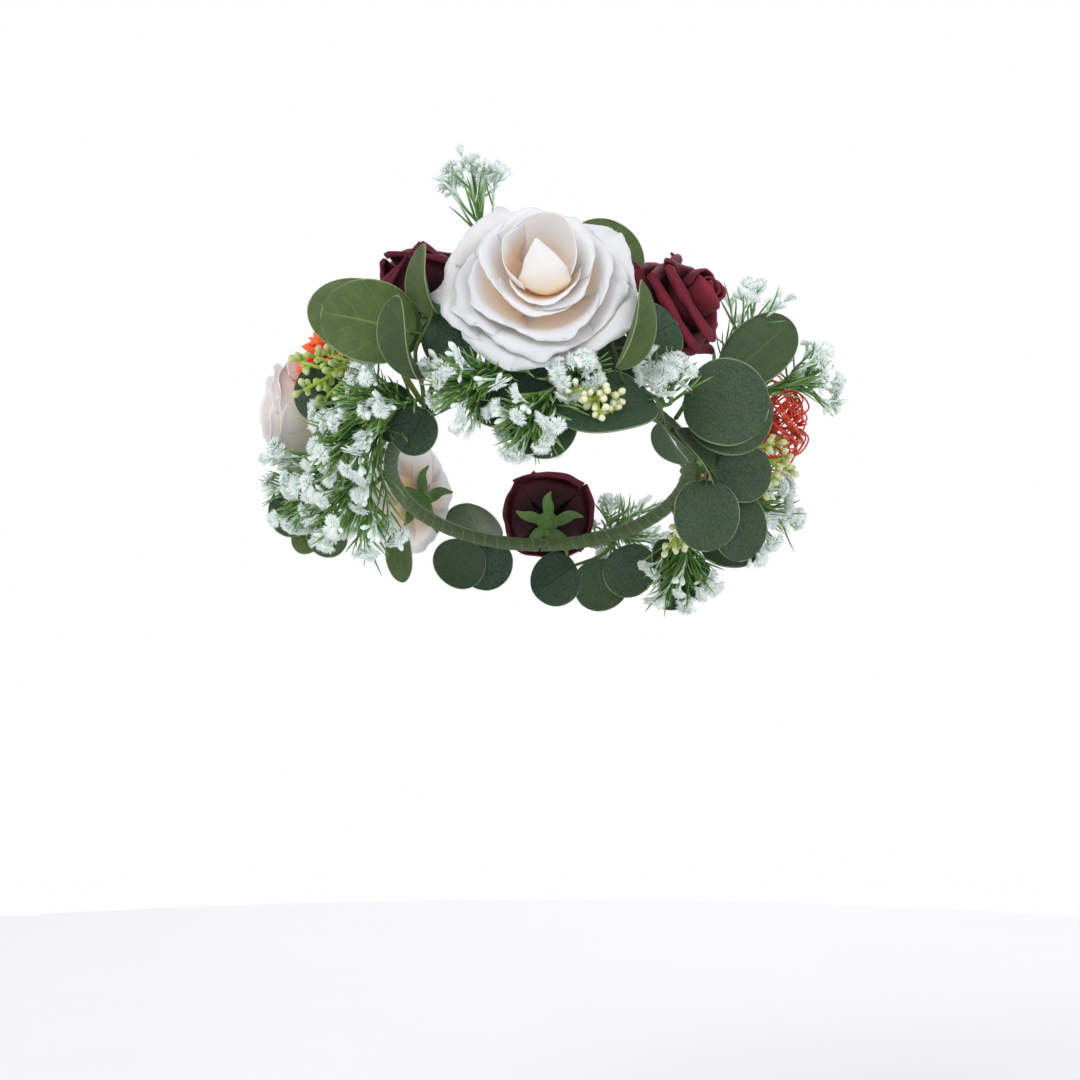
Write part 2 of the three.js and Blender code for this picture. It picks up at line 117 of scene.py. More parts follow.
# name: foot, root, direction, reach, spread, branches, share of full white heads, how leafy it is
GYPSOPHILA = {
    "top_left": ((-20, 0, 5), (-20, -2, 78), (-34, 66), 58, 19, 9, 0.4, 0.2),
    "front_left": ((-14, 2, 6), (-8, 15, 3), (-65, -34), 47, 35, 7, 0.7, 1.8),
    "front_right": ((10, 5, 3), (13, 12, 1), (-12, -34), 24, 26, 5, 1.0, 0.4),
    "front": ((12, 6, -4), (5, 17, -10), (-72, -56), 39, 35, 8, 0.75, 1.0),
    "left_front": ((-38, 5, 2), (-41, 7, 2), (-66, -15), 46, 30, 7, 0.5, 1.7),
    "left_middle": ((-50, 5, 2), (-54, 7, 2), (-78, -35), 52, 35, 9, 0.55, 1.6),
    "left_drooping": ((-62, 5, -1), (-67, 7, -2), (-128, -59), 62, 35, 12, 0.6, 1.2),
    "left_side": ((-78, 5, 2), (-83, 6, 0), (-98, -21), 60, 35, 12, 0.6, 1.2),
    "right_front": ((38, 5, -2), (45, 13, -1), (-8, 8), 34, 21, 6, 1.0, 0.3),
    "right_top": ((72, 6, 3), (70, 22, 44), (76, 53), 50, 35, 7, 0.1, 0.3),
    "right_side": ((79, 5, 4), (76, 40, 31), (97, 18), 46, 30, 7, 0.5, 0.5),
    "right_low": ((102, 5, -2), (101, 10, 0), (105, -18), 54, 35, 10, 0.7, 0.8),
    "right_hanging": ((108, 5, -3), (108, 3, -14), (-170, -76), 48, 28, 8, 0.5, 0.8),
    "rear": ((150, 5, 2), (156, 8, 8), (152, 20), 50, 35, 10, 0.6, 1.0),
}
# name: foot, root, direction, reach, spread, branches, how cream the berries are
BERRIES = {
    "left": ((-48, 1, 6), (-50, 22, 26), (-104, -6), 52, 27, 8, 0.3),
    "front": ((15, 6, -3), (18, 23, -5), (-30, -67), 31, 35, 9, 0.9),
    "right": ((82, 5, -3), (78, 18, 6), (114, -14), 48, 35, 7, 0.5),
    "right_low": ((92, 1, -6), (95, -6, -15), (128, -78), 32, 35, 8, 0.7),
}
# name: the stem's points
SPRIG_STEMS = {
    "left_front": [(-45, 4, -1), (-36, 21, -1), (-33, 35, 13), (-28, 38, 25), (-26, 40, 35)],
    "front": [(20, 5, -3), (25, 22, -6), (32, 28, -12), (40, 18, -18)],
    "top": [(30, 0, 5), (25, 16, 3), (23, 14, 20), (21, 3, 49), (19, -2, 61)],
    "right_upper": [(57, 4, 3), (50, 21, 4), (59, 25, 18), (68, 31, 31)],
    "right_hanging": [(57, 1, -4), (59, 14, -20), (66, 20, -29), (72, 20, -36)],
    "right_low": [(114, 0, -4), (114, 5, -17), (112, 12, -33)],
    "left_low": [(-97, 4, 5), (-100, 20, -8), (-102, 35, -16), (-103, 45, -20)],
    "left_middle": [(-62, 4, 1), (-59, 14, 6), (-63, 26, 12), (-65, 32, 16)],
    "rear_left": [(-150, 5, 2), (-158, 14, 6), (-168, 18, 10)],
    "rear_right": [(150, 4, -3), (158, 14, -4), (168, 18, -6)],
}
# name: the leaves as (base, tip, facing, width, fold, paleness)
SPRIG_LEAVES = {
    "left_front": [
        ((-32, 38, 21), (-45, 76, 29), (-10, -15), 44, 0.12, 1.0),
        ((-33, 32, 20), (-50, 74, 43), (-15, -9), 42, 0.12, 0.9),
        ((-27, 38, 28), (-27, 53, 62), (-65, -3), 30, 0.5, 0.8),
        ((-31.5, 34, -6), (-27.5, 75, 19), (-42, -9), 30, 0.8, 0.6),
        ((-32, 26, 11), (-20, 22, 24), (5, -5), 36, 0.1, 0.0),
    ],
    "front": [
        ((31, 31, -15), (5, 26, -31), (6, 17), 44, 0.2, 0.1),
        ((-2, 11, -15), (5, 11, -46), (3, -37), 36, 0.15, 0.2),
        ((6, 13, -9), (-20, 23, -20), (-7, 1), 42, 0.15, 0.0),
        ((38, 16, -19), (49, 17, -35), (-64, -11), 22, 0.3, 0.3),
        ((19, 38, -7), (24, 49, 40), (66, -11), 30, 0.7, 1.0),
        ((20, 6, 7), (34, 8, 30), (24, 0), 34, 0.12, 0.0),
    ],
    "top": [
        ((17, -8, 57), (27, 13, 97), (20, 1), 46, 0.15, 0.7),
        ((28, 19, 20), (40, 29, 38), (18, -9), 34, 0.15, 0.0),
        ((20, -6, 57), (-4, -10, 103), (-9, 5), 42, 0.15, 0.6),
    ],
    "right_upper": [
        ((47, 22, 5), (59, 56, -8), (16, -20), 47, 0.12, 0.15),
        ((53, 17, 7), (65, 52, -7), (20, -24), 46, 0.12, 0.3),
        ((66, 28, 29), (72, 62, 66), (12, -12), 34, 0.15, 0.45),
    ],
    "right_hanging": [
        ((66, 20, -33), (53, 10, -8), (68, -10), 26, 0.5, 0.3),
        ((65, 20, -25), (72, 47, -26), (20, -24), 32, 0.15, 0.1),
        ((62, 17, -33), (68, 11, -68), (11, -21), 36, 0.12, 0.15),
        ((71, 25, -33), (79, 28, -66), (18, -24), 32, 0.15, 0.1),
    ],
    "right_low": [
        ((112, 19, -36), (119, -5, -62), (51, 16), 22, 0.4, 0.2),
        ((117, -4, -22), (121, 4, -50), (22, -23), 22, 0.3, 0.3),
        ((113, 16, -25), (109, 49, -25), (19, -4), 28, 0.2, 0.1),
    ],
    "left_low": [
        ((-101, 45, -17), (-96, 67, -7), (-22, -23), 34, 0.15, 0.0),
        ((-104, 44, -23), (-104, 61, -27), (-10, -15), 18, 0.2, 1.0),
        ((-97, 37, -18), (-102, 37, -40), (-6, -25), 24, 0.2, 0.6),
        ((-120, 10, -11), (-126, 15, -38), (-32, -21), 18, 0.2, 0.7),
    ],
    "left_middle": [
        ((-65, 32, 16), (-68, 59, 20), (-16, -19), 34, 0.12, 0.0),
        ((-46, 9, 3), (-58, 22, -6), (-15, -14), 34, 0.15, 0.0),
        ((-41, 9, -5), (-51, 10, -24), (-16, -24), 27, 0.15, 0.0),
    ],
    "rear_left": [
        ((-154, 14, 4), (-152, 26, -22), (-150, -10), 34, 0.15, 0.2),
        ((-162, 18, 8), (-164, 34, -16), (-164, 5), 34, 0.15, 0.0),
        ((-160, 16, 9), (-158, 34, 38), (-155, 20), 36, 0.2, 0.5),
    ],
    "rear_right": [
        ((152, 12, -4), (146, 26, -28), (146, -8), 34, 0.15, 0.1),
        ((160, 16, -5), (160, 26, -34), (162, 0), 34, 0.15, 0.3),
        ((168, 18, -6), (182, 28, -18), (172, 5), 34, 0.2, 0.0),
    ],
}


# ---- Building closed surfaces ----
def fresh(seed):
    """Start the random numbers again, so that no piece depends on the ones before it."""
    global rng
    rng = np.random.default_rng(seed)


def smooth(a, b, x):
    t = np.clip((x - a) / (b - a), 0, 1)
    return t * t * (3 - 2 * t)


def columns(*values):
    """Values side by side in a last axis. Each can be an array or one number for all."""
    return np.stack(np.broadcast_arrays(*values), -1)


def travelled(path):
    """The length along a path at each of its points."""
    return np.r_[0, np.cumsum(np.linalg.norm(np.diff(path, axis=0), axis=1))]


def spline(points, t):
    """Points along a smooth curve through the given ones, for t from 0 to 1 of its length."""
    p = np.asarray(points, float)
    t = np.asarray(t, float)
    d = travelled(p)
    d /= d[-1]
    slope = np.gradient(p, d, axis=0)
    k = np.clip(np.searchsorted(d, t, side="right") - 1, 0, len(p) - 2)
    h = (d[k + 1] - d[k])[..., None]
    s = (t[..., None] - d[k][..., None]) / h
    return (
        (2 * s**3 - 3 * s**2 + 1) * p[k]
        + (s**3 - 2 * s**2 + s) * h * slope[k]
        + (3 * s**2 - 2 * s**3) * p[k + 1]
        + (s**3 - s**2) * h * slope[k + 1]
    )


def curve(points, count):
    return spline(points, np.linspace(0, 1, count))


def stand(place, direction, upright=(0, 0, 1)):
    """A 4x4 whose z axis is the direction and whose y axis is as upright as it can be."""
    z = unit(direction)
    y = np.asarray(upright, float)
    if abs(z @ y) > 0.97:
        y = np.array([0.0, 1.0, 0.0])
    y = unit(y - z * (z @ y))
    m = np.eye(4)
    m[:3, 0], m[:3, 1], m[:3, 2], m[:3, 3] = np.cross(y, z), y, z, place
    return m


def moved(matrix, points):
    return points @ matrix[:3, :3].T + matrix[:3, 3]


def on_axis(heights):
    """Points on a flower's axis, from their heights in mm."""
    return columns(0, 0, heights) * MM


def circles(sides, across, up):
    """The angles round a circle, and its points on each pair of directions."""
    a = np.arange(sides) * 2 * math.pi / sides
    return a, np.cos(a)[None, :, None] * across[:, None] + np.sin(a)[None, :, None] * up[:, None]


def sleeve(rows, sides):
    """The indices of a tube's points, and its faces."""
    index = np.arange(rows * sides).reshape(rows, sides)
    turned = np.roll(index, -1, 1)
    return index, columns(index[:-1], turned[:-1], turned[1:], index[1:]).reshape(-1, 4)


class Piece:
    """The surfaces of one piece. Each vertex carries three marks that the materials read:
    cloth, its place on the flat petal or leaf in mm with a seed; mark, how far along and across it
    is and the petal's own tone; and style, which of the material's looks it has."""

    def __init__(self):
        self.surfaces, self.count = [], 0

    def add(self, points, quads, tris, cloth, mark, style):
        style = np.broadcast_to(style, len(points))
        self.surfaces.append((points, quads + self.count, tris + self.count, cloth, mark, style))
        self.count += len(points)

    def skin(self, grid, thickness, flat, along, across, seed, style):
        """A closed sheet of even thickness on a grid of points. Flat is its (x, y) in mm laid flat."""
        nu, nv = grid.shape[:2]
        normal = unit(np.cross(np.gradient(grid, axis=0), np.gradient(grid, axis=1)))
        normal[:, 0] = normal[:, 1]
        front = (grid + normal * thickness / 2).reshape(-1, 3)
        back = (grid - normal * thickness / 2).reshape(-1, 3)
        n = nu * nv
        index = np.arange(n).reshape(nu, nv)
        top = columns(index[:-1, :-1], index[1:, :-1], index[1:, 1:], index[:-1, 1:]).reshape(-1, 4)
        rim = np.r_[index[:, 0], index[-1, 1:], index[-2::-1, -1], index[0, -2:0:-1]]
        onward = np.roll(rim, -1)
        quads = np.r_[top, top[:, ::-1] + n, columns(rim, rim + n, onward + n, onward)]
        both = columns(*flat, seed * 90), columns(along, across, seed)
        cloth, mark = (np.tile(values.reshape(-1, 3), (2, 1)) for values in both)
        self.add(np.r_[front, back], quads, np.zeros((0, 3), int), cloth, mark, style)

    def tube(self, path, radii, sides=6, tone=0.0, style=0.0):
        """A round stem along a path. Both ends are closed."""
        path = np.asarray(path, float)
        n = len(path)
        radii, style = np.broadcast_to(radii, n), np.broadcast_to(style, n)
        tangent = unit(np.gradient(path, axis=0))
        normal = np.zeros((n, 3))
        side = np.array([1.0, 0, 0]) if abs(tangent[0, 0]) < 0.8 else np.array([0, 1.0, 0])
        for i in range(n):
            side = unit(side - tangent[i] * (side @ tangent[i]))
            normal[i] = side
        a, ring = circles(sides, normal, np.cross(tangent, normal))
        points = (path[:, None] + ring * radii[:, None, None]).reshape(-1, 3)
        index, quads = sleeve(n, sides)
        caps = np.r_[
            columns(n * sides, np.roll(index[0], -1), index[0]),
            columns(n * sides + 1, index[-1], np.roll(index[-1], -1)),
        ]
        length = travelled(path)
        along = np.r_[np.repeat(length / max(length[-1], 1e-9), sides), 0, 1]
        mark = columns(along, np.r_[np.tile(np.cos(a), n), 0, 0], tone)
        up = np.r_[np.repeat(length / MM, sides), 0, length[-1] / MM]
        cloth = columns(np.r_[np.tile(a * 2, n), 0, 0], up, tone * 50)
        styles = np.r_[np.repeat(style, sides), style[0], style[-1]]
        self.add(np.r_[points, path[:1], path[-1:]], quads, caps, cloth, mark, styles)

    def stalk(self, points, count, radii, *looks):
        """A tapering stem on a curve through a few points. Returns its line."""
        line = curve(points, count)
        self.tube(line, np.linspace(*radii, count) * MM, *looks)
        return line

    def stamp(self, other, place, size, tone):
        """Adds a copy of another piece at a place."""
        points, quads, tris, cloth, mark, style = other
        sized = place.copy()
        sized[:3, :3] *= size
        mark = columns(mark[:, 0], mark[:, 1], (mark[:, 2] + tone) % 1)
        self.add(moved(sized, points), quads, tris, cloth + [0, 0, tone * 31], mark, style)

    def arrays(self):
        return tuple(np.concatenate(part) for part in zip(*self.surfaces))

    def build(self, node, slot, material):
        """Makes the mesh that stands for a CAD node."""
        points, quads, tris, cloth, mark, style = self.arrays()
        mesh = bpy.data.meshes.new(node + "_visual")
        mesh.vertices.add(len(points))
        mesh.vertices.foreach_set("co", points.astype(np.float32).ravel())
        mesh.loops.add(quads.size + tris.size)
        mesh.loops.foreach_set("vertex_index", np.r_[quads.ravel(), tris.ravel()].astype(np.int32))
        mesh.polygons.add(len(quads) + len(tris))
        starts = np.r_[np.arange(len(quads)) * 4, quads.size + np.arange(len(tris)) * 3]
        mesh.polygons.foreach_set("loop_start", starts.astype(np.int32))
        mesh.polygons.foreach_set("use_smooth", np.ones(len(starts), bool))
        mesh.update(calc_edges=True)
        for name, values in (("cloth", cloth), ("mark", mark)):
            layer = mesh.attributes.new(name, "FLOAT_VECTOR", "POINT")
            layer.data.foreach_set("vector", values.astype(np.float32).ravel())
        layer = mesh.attributes.new("style", "FLOAT", "POINT")
        layer.data.foreach_set("value", style.astype(np.float32))
        mesh.materials.append(material)
        obj = place_object(node + "_visual", mesh)
        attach(obj, "root")
        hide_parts(node)


# ---- Materials ----
class Nodes:
    """Short names for the shader nodes of a material or of the world."""

    def __init__(self, owner, shader="Principled BSDF"):
        owner.use_nodes = True
        self.owner, self.tree = owner, owner.node_tree
        self.shader = self.tree.nodes[shader]

    def node(self, kind, inputs=(), **settings):
        n = self.tree.nodes.new(kind)
        for key, value in settings.items():
            setattr(n, key, value)
        for key, value in dict(inputs).items():
            self.set(n.inputs[key], value)
        return n

    def set(self, socket, value):
        if isinstance(value, bpy.types.NodeSocket):
            self.tree.links.new(value, socket)
        else:
            socket.default_value = value

    def attribute(self, name, output="Vector"):
        return self.node("ShaderNodeAttribute", attribute_name=name).outputs[output]

    def split(self, vector):
        return self.node("ShaderNodeSeparateXYZ", {"Vector": vector}).outputs

    def stretch(self, vector, scale):
        return self.node("ShaderNodeMapping", {"Vector": vector, "Scale": scale}).outputs[0]

    def math(self, operation, a, b=0.0):
        return self.node("ShaderNodeMath", {0: a, 1: b}, operation=operation).outputs[0]

    def times(self, a, b):
        return self.math("MULTIPLY", a, b)

    def remap(self, value, low, high, end=1.0, start=0.0):
        """Goes smoothly from start to end as the value goes from low to high."""
        ends = {"Value": value, "From Min": low, "From Max": high, "To Min": start, "To Max": end}
        return self.node("ShaderNodeMapRange", ends, interpolation_type="SMOOTHSTEP").outputs["Result"]

    def noise(self, vector, scale, detail=3.0, rough=0.55, output="Fac"):
        grain = {"Vector": vector, "Scale": scale, "Detail": detail, "Roughness": rough}
        return self.node("ShaderNodeTexNoise", grain).outputs[output]

    def cracks(self, vector, scale):
        cells = {"Vector": vector, "Scale": scale}
        return self.node("ShaderNodeTexVoronoi", cells, feature="DISTANCE_TO_EDGE").outputs["Distance"]

    def mix(self, factor, a, b):
        return self.node("ShaderNodeMix", {"Factor": factor, 6: a, 7: b}, data_type="RGBA").outputs[2]

    def bump(self, height, strength, distance, normal=None):
        inputs = {"Height": height, "Strength": strength, "Distance": distance}
        if normal is not None:
            inputs["Normal"] = normal
        return self.node("ShaderNodeBump", inputs).outputs["Normal"]

    def finish(self, **sockets):
        for key, value in sockets.items():
            self.set(self.shader.inputs[key.replace("_", " ").title().replace("Ior", "IOR")], value)
        return self.owner


def new_material(name):
    return Nodes(bpy.data.materials.new(name))


def marked_material(name):
    """A material that has the marks of each vertex at hand."""
    m = new_material(name)
    m.cloth, m.style = m.attribute("cloth"), m.attribute("style", "Fac")
    m.along, m.across, m.tone = m.split(m.attribute("mark"))
    return m


def rgb(r, g, b):
    """A linear colour from the usual 0-255 display values."""
    line = lambda c: c / 12.92 if c <= 0.04045 else ((c + 0.055) / 1.055) ** 2.4
    return (*(line(c / 255) for c in (r, g, b)), 1.0)


def petal_cloth(name, sheen, rough, scatter, *colours):
    """Petal fabric: warm and saturated deep down, partly the petals' own peach and partly a painted glow of
    light bouncing in the cup, paler to the rim, with a weave and faint veins. Some petals, at random, take a
    painted shade tint.
    """
    m = marked_material(name)
    rim, body, depth, cool = (rgb(*colour) for colour in colours)
    patches = m.math("SUBTRACT", m.noise(m.cloth, 0.09, 2.0), 0.5)
    height = m.math("ADD", m.along, m.times(patches, 0.2))
    lower = m.math("SUBTRACT", height, m.times(m.style, 0.3))
    # painted glow: low in the petals the depth colour is partly their own peach and partly light bouncing in
    # the cup
    colour = m.mix(m.remap(lower, 0.22, 0.66), depth, body)
    colour = m.mix(m.remap(height, 0.7, 0.98), colour, rim)
    # painted shade: random petals take the lavender tint that the whites have in shade
    colour = m.mix(m.remap(m.tone, 0.4, 1.0, 0.55), colour, cool)
    veins = m.noise(m.stretch(m.cloth, (2.6, 0.16, 1.0)), 1.0, 3.0, 0.6)
    colour = m.mix(m.remap(veins, 0.62, 0.3, 0.06), colour, depth)
    weave = m.bump(m.noise(m.cloth, 3.2, 2.0, 0.7), 0.22, 0.0002)
    return m.finish(
        base_color=colour, roughness=rough, normal=m.bump(veins, 0.3, 0.0004, weave),
        subsurface_weight=scatter, subsurface_radius=(0.005, 0.004, 0.003), subsurface_scale=0.4,
        sheen_weight=sheen, sheen_roughness=0.5,
    )


def foam_petals(name, rim, body, depth):
    """Sheet foam: deep colour, very matt, a fine cell grain, with a painted highlight on the lip where an
    edge is rolled and painted shade down towards the foot of each petal.
    """
    m = marked_material(name)
    # painted shade: darker down towards the foot of each petal
    colour = m.mix(m.remap(m.along, 0.25, 0.8), depth, body)
    # painted highlight: the rim colour lights the rolled lip
    rolled = m.math("ADD", m.along, m.times(m.noise(m.cloth, 0.12), 0.12))
    colour = m.mix(m.remap(rolled, 0.86, 1.06), colour, rim)
    colour = m.mix(m.remap(m.tone, 0.0, 1.0, 0.3), colour, depth)
    cells = m.bump(m.noise(m.cloth, 5.5, 2.0, 0.8), 0.35, 0.00025)
    return m.finish(
        base_color=colour, roughness=0.66, specular_ior_level=0.25, sheen_weight=0.06,
        sheen_roughness=0.45, normal=m.bump(m.noise(m.cloth, 0.5, 2.0), 0.25, 0.0008, cells),
    )


def leaf_cloth(name):
    """Printed eucalyptus leaves. Style 0 is deep green with a crackle of dark veins, style 1 is pale
    and smooth with a light midrib."""
    m = marked_material(name)
    width = m.math("ABSOLUTE", m.across)
    # side veins run forwards from the midrib
    wobble = m.times(m.math("SUBTRACT", m.noise(m.cloth, 0.25, 2.0), 0.5), 0.10)
    slant = m.math("SUBTRACT", m.math("ADD", m.along, wobble), m.times(width, 0.42))
    wave = m.math("ABSOLUTE", m.math("SUBTRACT", m.math("FRACT", m.times(slant, 6.0)), 0.5))
    midrib = m.remap(m.math("ADD", width, m.times(m.along, 0.02)), 0.055, 0.015)
    rib = m.math("MAXIMUM", midrib, m.remap(wave, 0.06, 0.0, 0.55))
    drift = m.noise(m.cloth, 0.5, 2.0, 0.5, "Color")
    bent = m.node("ShaderNodeVectorMath", {0: m.cloth, 1: drift}, operation="ADD").outputs[0]
    fine = m.remap(m.cracks(bent, 1.2), 0.14, 0.02, 0.25)
    vein = m.math("MAXIMUM", m.remap(m.cracks(bent, 0.42), 0.10, 0.02), fine)
    mottle, grain = m.noise(m.cloth, 0.13), m.noise(m.cloth, 1.6)
    deep = m.mix(m.remap(mottle, 0.35, 0.65), rgb(43, 71, 57), rgb(50, 76, 46))
    deep = m.mix(m.remap(grain, 0.4, 0.75, 0.4), deep, rgb(90, 124, 98))
    deep = m.mix(m.times(vein, 0.85), deep, rgb(20, 38, 26))
    deep = m.mix(m.times(rib, 0.55), deep, rgb(26, 46, 30))
    pale = m.mix(m.remap(mottle, 0.3, 0.7), rgb(69, 94, 32), rgb(88, 108, 44))
    pale = m.mix(m.remap(grain, 0.4, 0.8, 0.3), pale, rgb(106, 124, 60))
    pale = m.mix(m.times(rib, 0.7), pale, rgb(150, 158, 94))
    colour = m.mix(m.style, deep, pale)
    colour = m.mix(m.remap(m.tone, 0.0, 1.0, 0.3), colour, rgb(40, 66, 40))
    edge = m.math("MAXIMUM", m.remap(width, 0.955, 0.985, 0.55), m.remap(m.along, 0.985, 0.997, 0.55))
    colour = m.mix(edge, colour, rgb(168, 184, 136))
    relief = m.bump(m.math("SUBTRACT", 1.0, m.times(vein, 0.8)), 0.35, 0.0003)
    return m.finish(
        base_color=colour, roughness=m.remap(grain, 0.2, 0.8, 0.62, 0.42), specular_ior_level=0.4,
        normal=m.bump(m.math("SUBTRACT", 1.0, rib), 0.5, 0.0006, relief), subsurface_weight=0.05,
        subsurface_radius=(0.002, 0.003, 0.001), subsurface_scale=0.3,
    )


def moulded(name, rough, scatter, *colours):
    """Moulded sprays: style 0 is a green stem or needle, paler to its tip, and style 1 the white or
    cream end, with painted shade towards its foot, partly the green of the heads' own centres."""
    m = marked_material(name)
    green, tip, white, shade = (rgb(*colour) for colour in colours)
    streak = m.noise(m.cloth, 0.8)
    body = m.mix(m.remap(m.along, 0.3, 1.0, 0.75), green, tip)
    body = m.mix(m.remap(m.tone, 0.25, 1.0, 0.7), body, m.mix(0.6, green, rgb(20, 58, 26)))
    body = m.mix(m.remap(streak, 0.35, 0.75, 0.35), body, tip)
    # painted shade at the foot of each white end, partly the heads' own green centres; the random streaks
    # take it too
    ends = m.mix(m.remap(m.along, 0.0, 0.75), shade, white)
    ends = m.mix(m.remap(streak, 0.45, 0.75, 0.35), ends, shade)
    return m.finish(
        base_color=m.mix(m.remap(m.style, 0.1, 0.9), body, ends), roughness=rough,
        normal=m.bump(m.noise(m.cloth, 2.5, 2.0), 0.25, 0.0002), subsurface_weight=scatter,
        subsurface_radius=(0.003, 0.003, 0.0025), subsurface_scale=0.3,
    )


def wound_tape(name):
    """Waxed crepe tape with creases along the winding."""
    m = marked_material(name)
    wrinkle = m.noise(m.stretch(m.cloth, (3.0, 0.5, 1.0)), 1.2, 4.0, 0.7)
    colour = m.mix(m.remap(wrinkle, 0.3, 0.7), rgb(46, 66, 34), rgb(84, 106, 56))
    colour = m.mix(m.remap(m.across, 0.75, 1.0, 0.5), colour, rgb(110, 132, 80))
    relief = m.bump(wrinkle, 0.6, 0.0004)
    return m.finish(base_color=colour, roughness=0.7, normal=relief, sheen_weight=0.1)


def drawn_wire(name):
    """Galvanised wire with short scratches. It keeps its CAD mesh, so its marks come from its place."""
    m = new_material(name)
    scratch = m.noise(m.node("ShaderNodeTexCoord").outputs["Object"], 900.0, 4.0, 0.8)
    return m.finish(
        base_color=m.mix(m.remap(scratch, 0.3, 0.7), rgb(120, 122, 116), rgb(176, 178, 170)),
        metallic=0.9, roughness=m.remap(scratch, 0.3, 0.7, 0.5, 0.3), normal=m.bump(scratch, 0.2, 0.0001),
    )


# name: sheen, roughness, scatter, rim, body, depth (partly a painted glow) and the lavender tint of some
# petals, which is painted shade
SILKS = {
    "cream_silk": (0.15, 0.72, 0.45, (234, 235, 236), (245, 238, 229), (255, 207, 148), (224, 228, 233)),
    # a dimmer copy of the cream silk: painted shade for the rose on the shaded left side
    "cream_silk_painted_shade": (0.15, 0.72, 0.1, (240, 236, 238), (240, 230, 218), (232, 196, 152), (228, 226, 234)),
    "orange_silk": (0.1, 0.6, 0.05, (255, 140, 76), (255, 106, 42), (238, 64, 20), (250, 84, 34)),
}
CREAM, CREAM_PAINTED_SHADE, ORANGE = (petal_cloth(name, *looks) for name, looks in SILKS.items())
# the foam's colours: a painted highlight on the lips, the body, and painted shade deep in the flower
FOAM = foam_petals("burgundy_foam", rgb(140, 42, 60), rgb(104, 22, 40), rgb(50, 6, 17))
# a darker copy of the foam: painted shade for the roses at the shaded left and at the back
FOAM_PAINTED_SHADE = foam_petals("burgundy_foam_painted_shade", rgb(112, 32, 50), rgb(74, 14, 30), rgb(30, 3, 10))
LEAF = leaf_cloth("eucalyptus")
# name: roughness, scatter, green, tip, white end and the painted shade at the foot of the white end
MOULDED = {
    "red_styles": (0.42, 0.05, (226, 48, 20), (246, 92, 46), (250, 126, 64), (220, 60, 24)),
    "gypsophila": (0.55, 0.12, (66, 124, 42), (160, 194, 112), (246, 255, 251), (190, 224, 194)),
    "berry": (0.45, 0.15, (140, 170, 44), (186, 206, 84), (240, 238, 206), (190, 204, 104)),
    "stem": (0.55, 0.05, (70, 108, 40), (116, 148, 70), (150, 170, 100), (96, 128, 60)),
}
STYLES, WHITE, BERRY, STEM = (moulded(name, *looks) for name, looks in MOULDED.items())
TAPE = wound_tape("tape")
WIRE = drawn_wire("wire")

# ---- Petals ----
SILK, FOAM_SHEET, LEAF_SHEET = 0.35, 1.2, 0.55  # mm, how thick the sheets are
GOLDEN = 137.5  # degrees between neighbours in a spiral


def petal(
    piece, place, azimuth, half, profile, thickness=SILK, wave=0.0, waves=5.0, tip=0.0, droop=0.18,
    spiral=0.0, side_curl=0.0, straight=0.0, base=0.6, crimp=0.008, slope=0.0, deep=0.0, shift=0.0,
    nu=32, nv=18,
):
    """A petal that wraps part of the way round the flower's axis. The profile is (radius, height) in
    mm from its foot to its rim, half is half the angle that it spans, slope lifts its upper side,
    shift moves its rim upwards and deep is how far up the warm colour of its foot comes, which is
    partly its own peach and partly a painted glow."""
    u = np.linspace(-1, 1, nu)[:, None]
    v = np.linspace(0, 1, nv)[None, :]
    seed = rng.random()
    p1, p2 = (rng.random(3) * 2 * math.pi)[:2]
    edge = 1 - droop * np.abs(u) ** 2.4 + tip * np.exp(-((u / 0.12) ** 2))
    edge = edge + crimp * (np.sin(9 * u + p1) + 0.7 * np.sin(27 * u + p2)) + rng.uniform(-0.07, 0.07) * u
    along = v * edge
    rz = spline(profile, np.minimum(along, 1.12))
    tangent = unit(spline(profile, np.minimum(along + 0.02, 1.14)) - spline(profile, along - 0.02))
    r, z = rz[..., 0], rz[..., 1]
    push = wave * smooth(0.35, 1.0, along) * (
        np.sin(waves * u + p1) + 0.5 * np.sin(2.3 * waves * u + p2) * smooth(0.7, 1.0, along)
    )
    push = push - side_curl * np.abs(u) ** 3 * smooth(0.3, 1.0, along)
    r = r - tangent[..., 1] * push
    z = z + tangent[..., 0] * push
    grow = base + (1 - base) * smooth(0.0, 0.55, along)
    turn = math.radians(half) * u * grow
    r = r * (1 + spiral * u) / np.cos(np.clip(turn, -0.9, 0.9)) ** (straight * smooth(0.4, 0.8, along))
    angle = math.radians(azimuth) + turn
    z = z + slope * r * np.sin(angle) * smooth(0.1, 1.0, along)
    y = r * np.sin(angle) + shift * smooth(0.3, 1.0, along)
    grid = columns(r * np.cos(angle), y, z) * MM
    wide = np.maximum(np.max(profile, axis=0)[0] * math.radians(half), 4)
    flat = u * wide * grow, along * travelled(profile)[-1]
    piece.skin(moved(place, grid), thickness * MM, flat, along, u, seed, deep)


def rose_ring(piece, place, count, half, profile, first, jitter=6.0, uneven=1.2, **more):
    for i in range(count):
        turn = first + 360 * i / count + rng.uniform(-jitter, jitter)
        high = rng.uniform(-uneven, uneven)
        bent = [(r * (1 + 0.02 * high), z + high * k / len(profile)) for k, (r, z) in enumerate(profile)]
        petal(piece, place, turn, half, bent, **more)


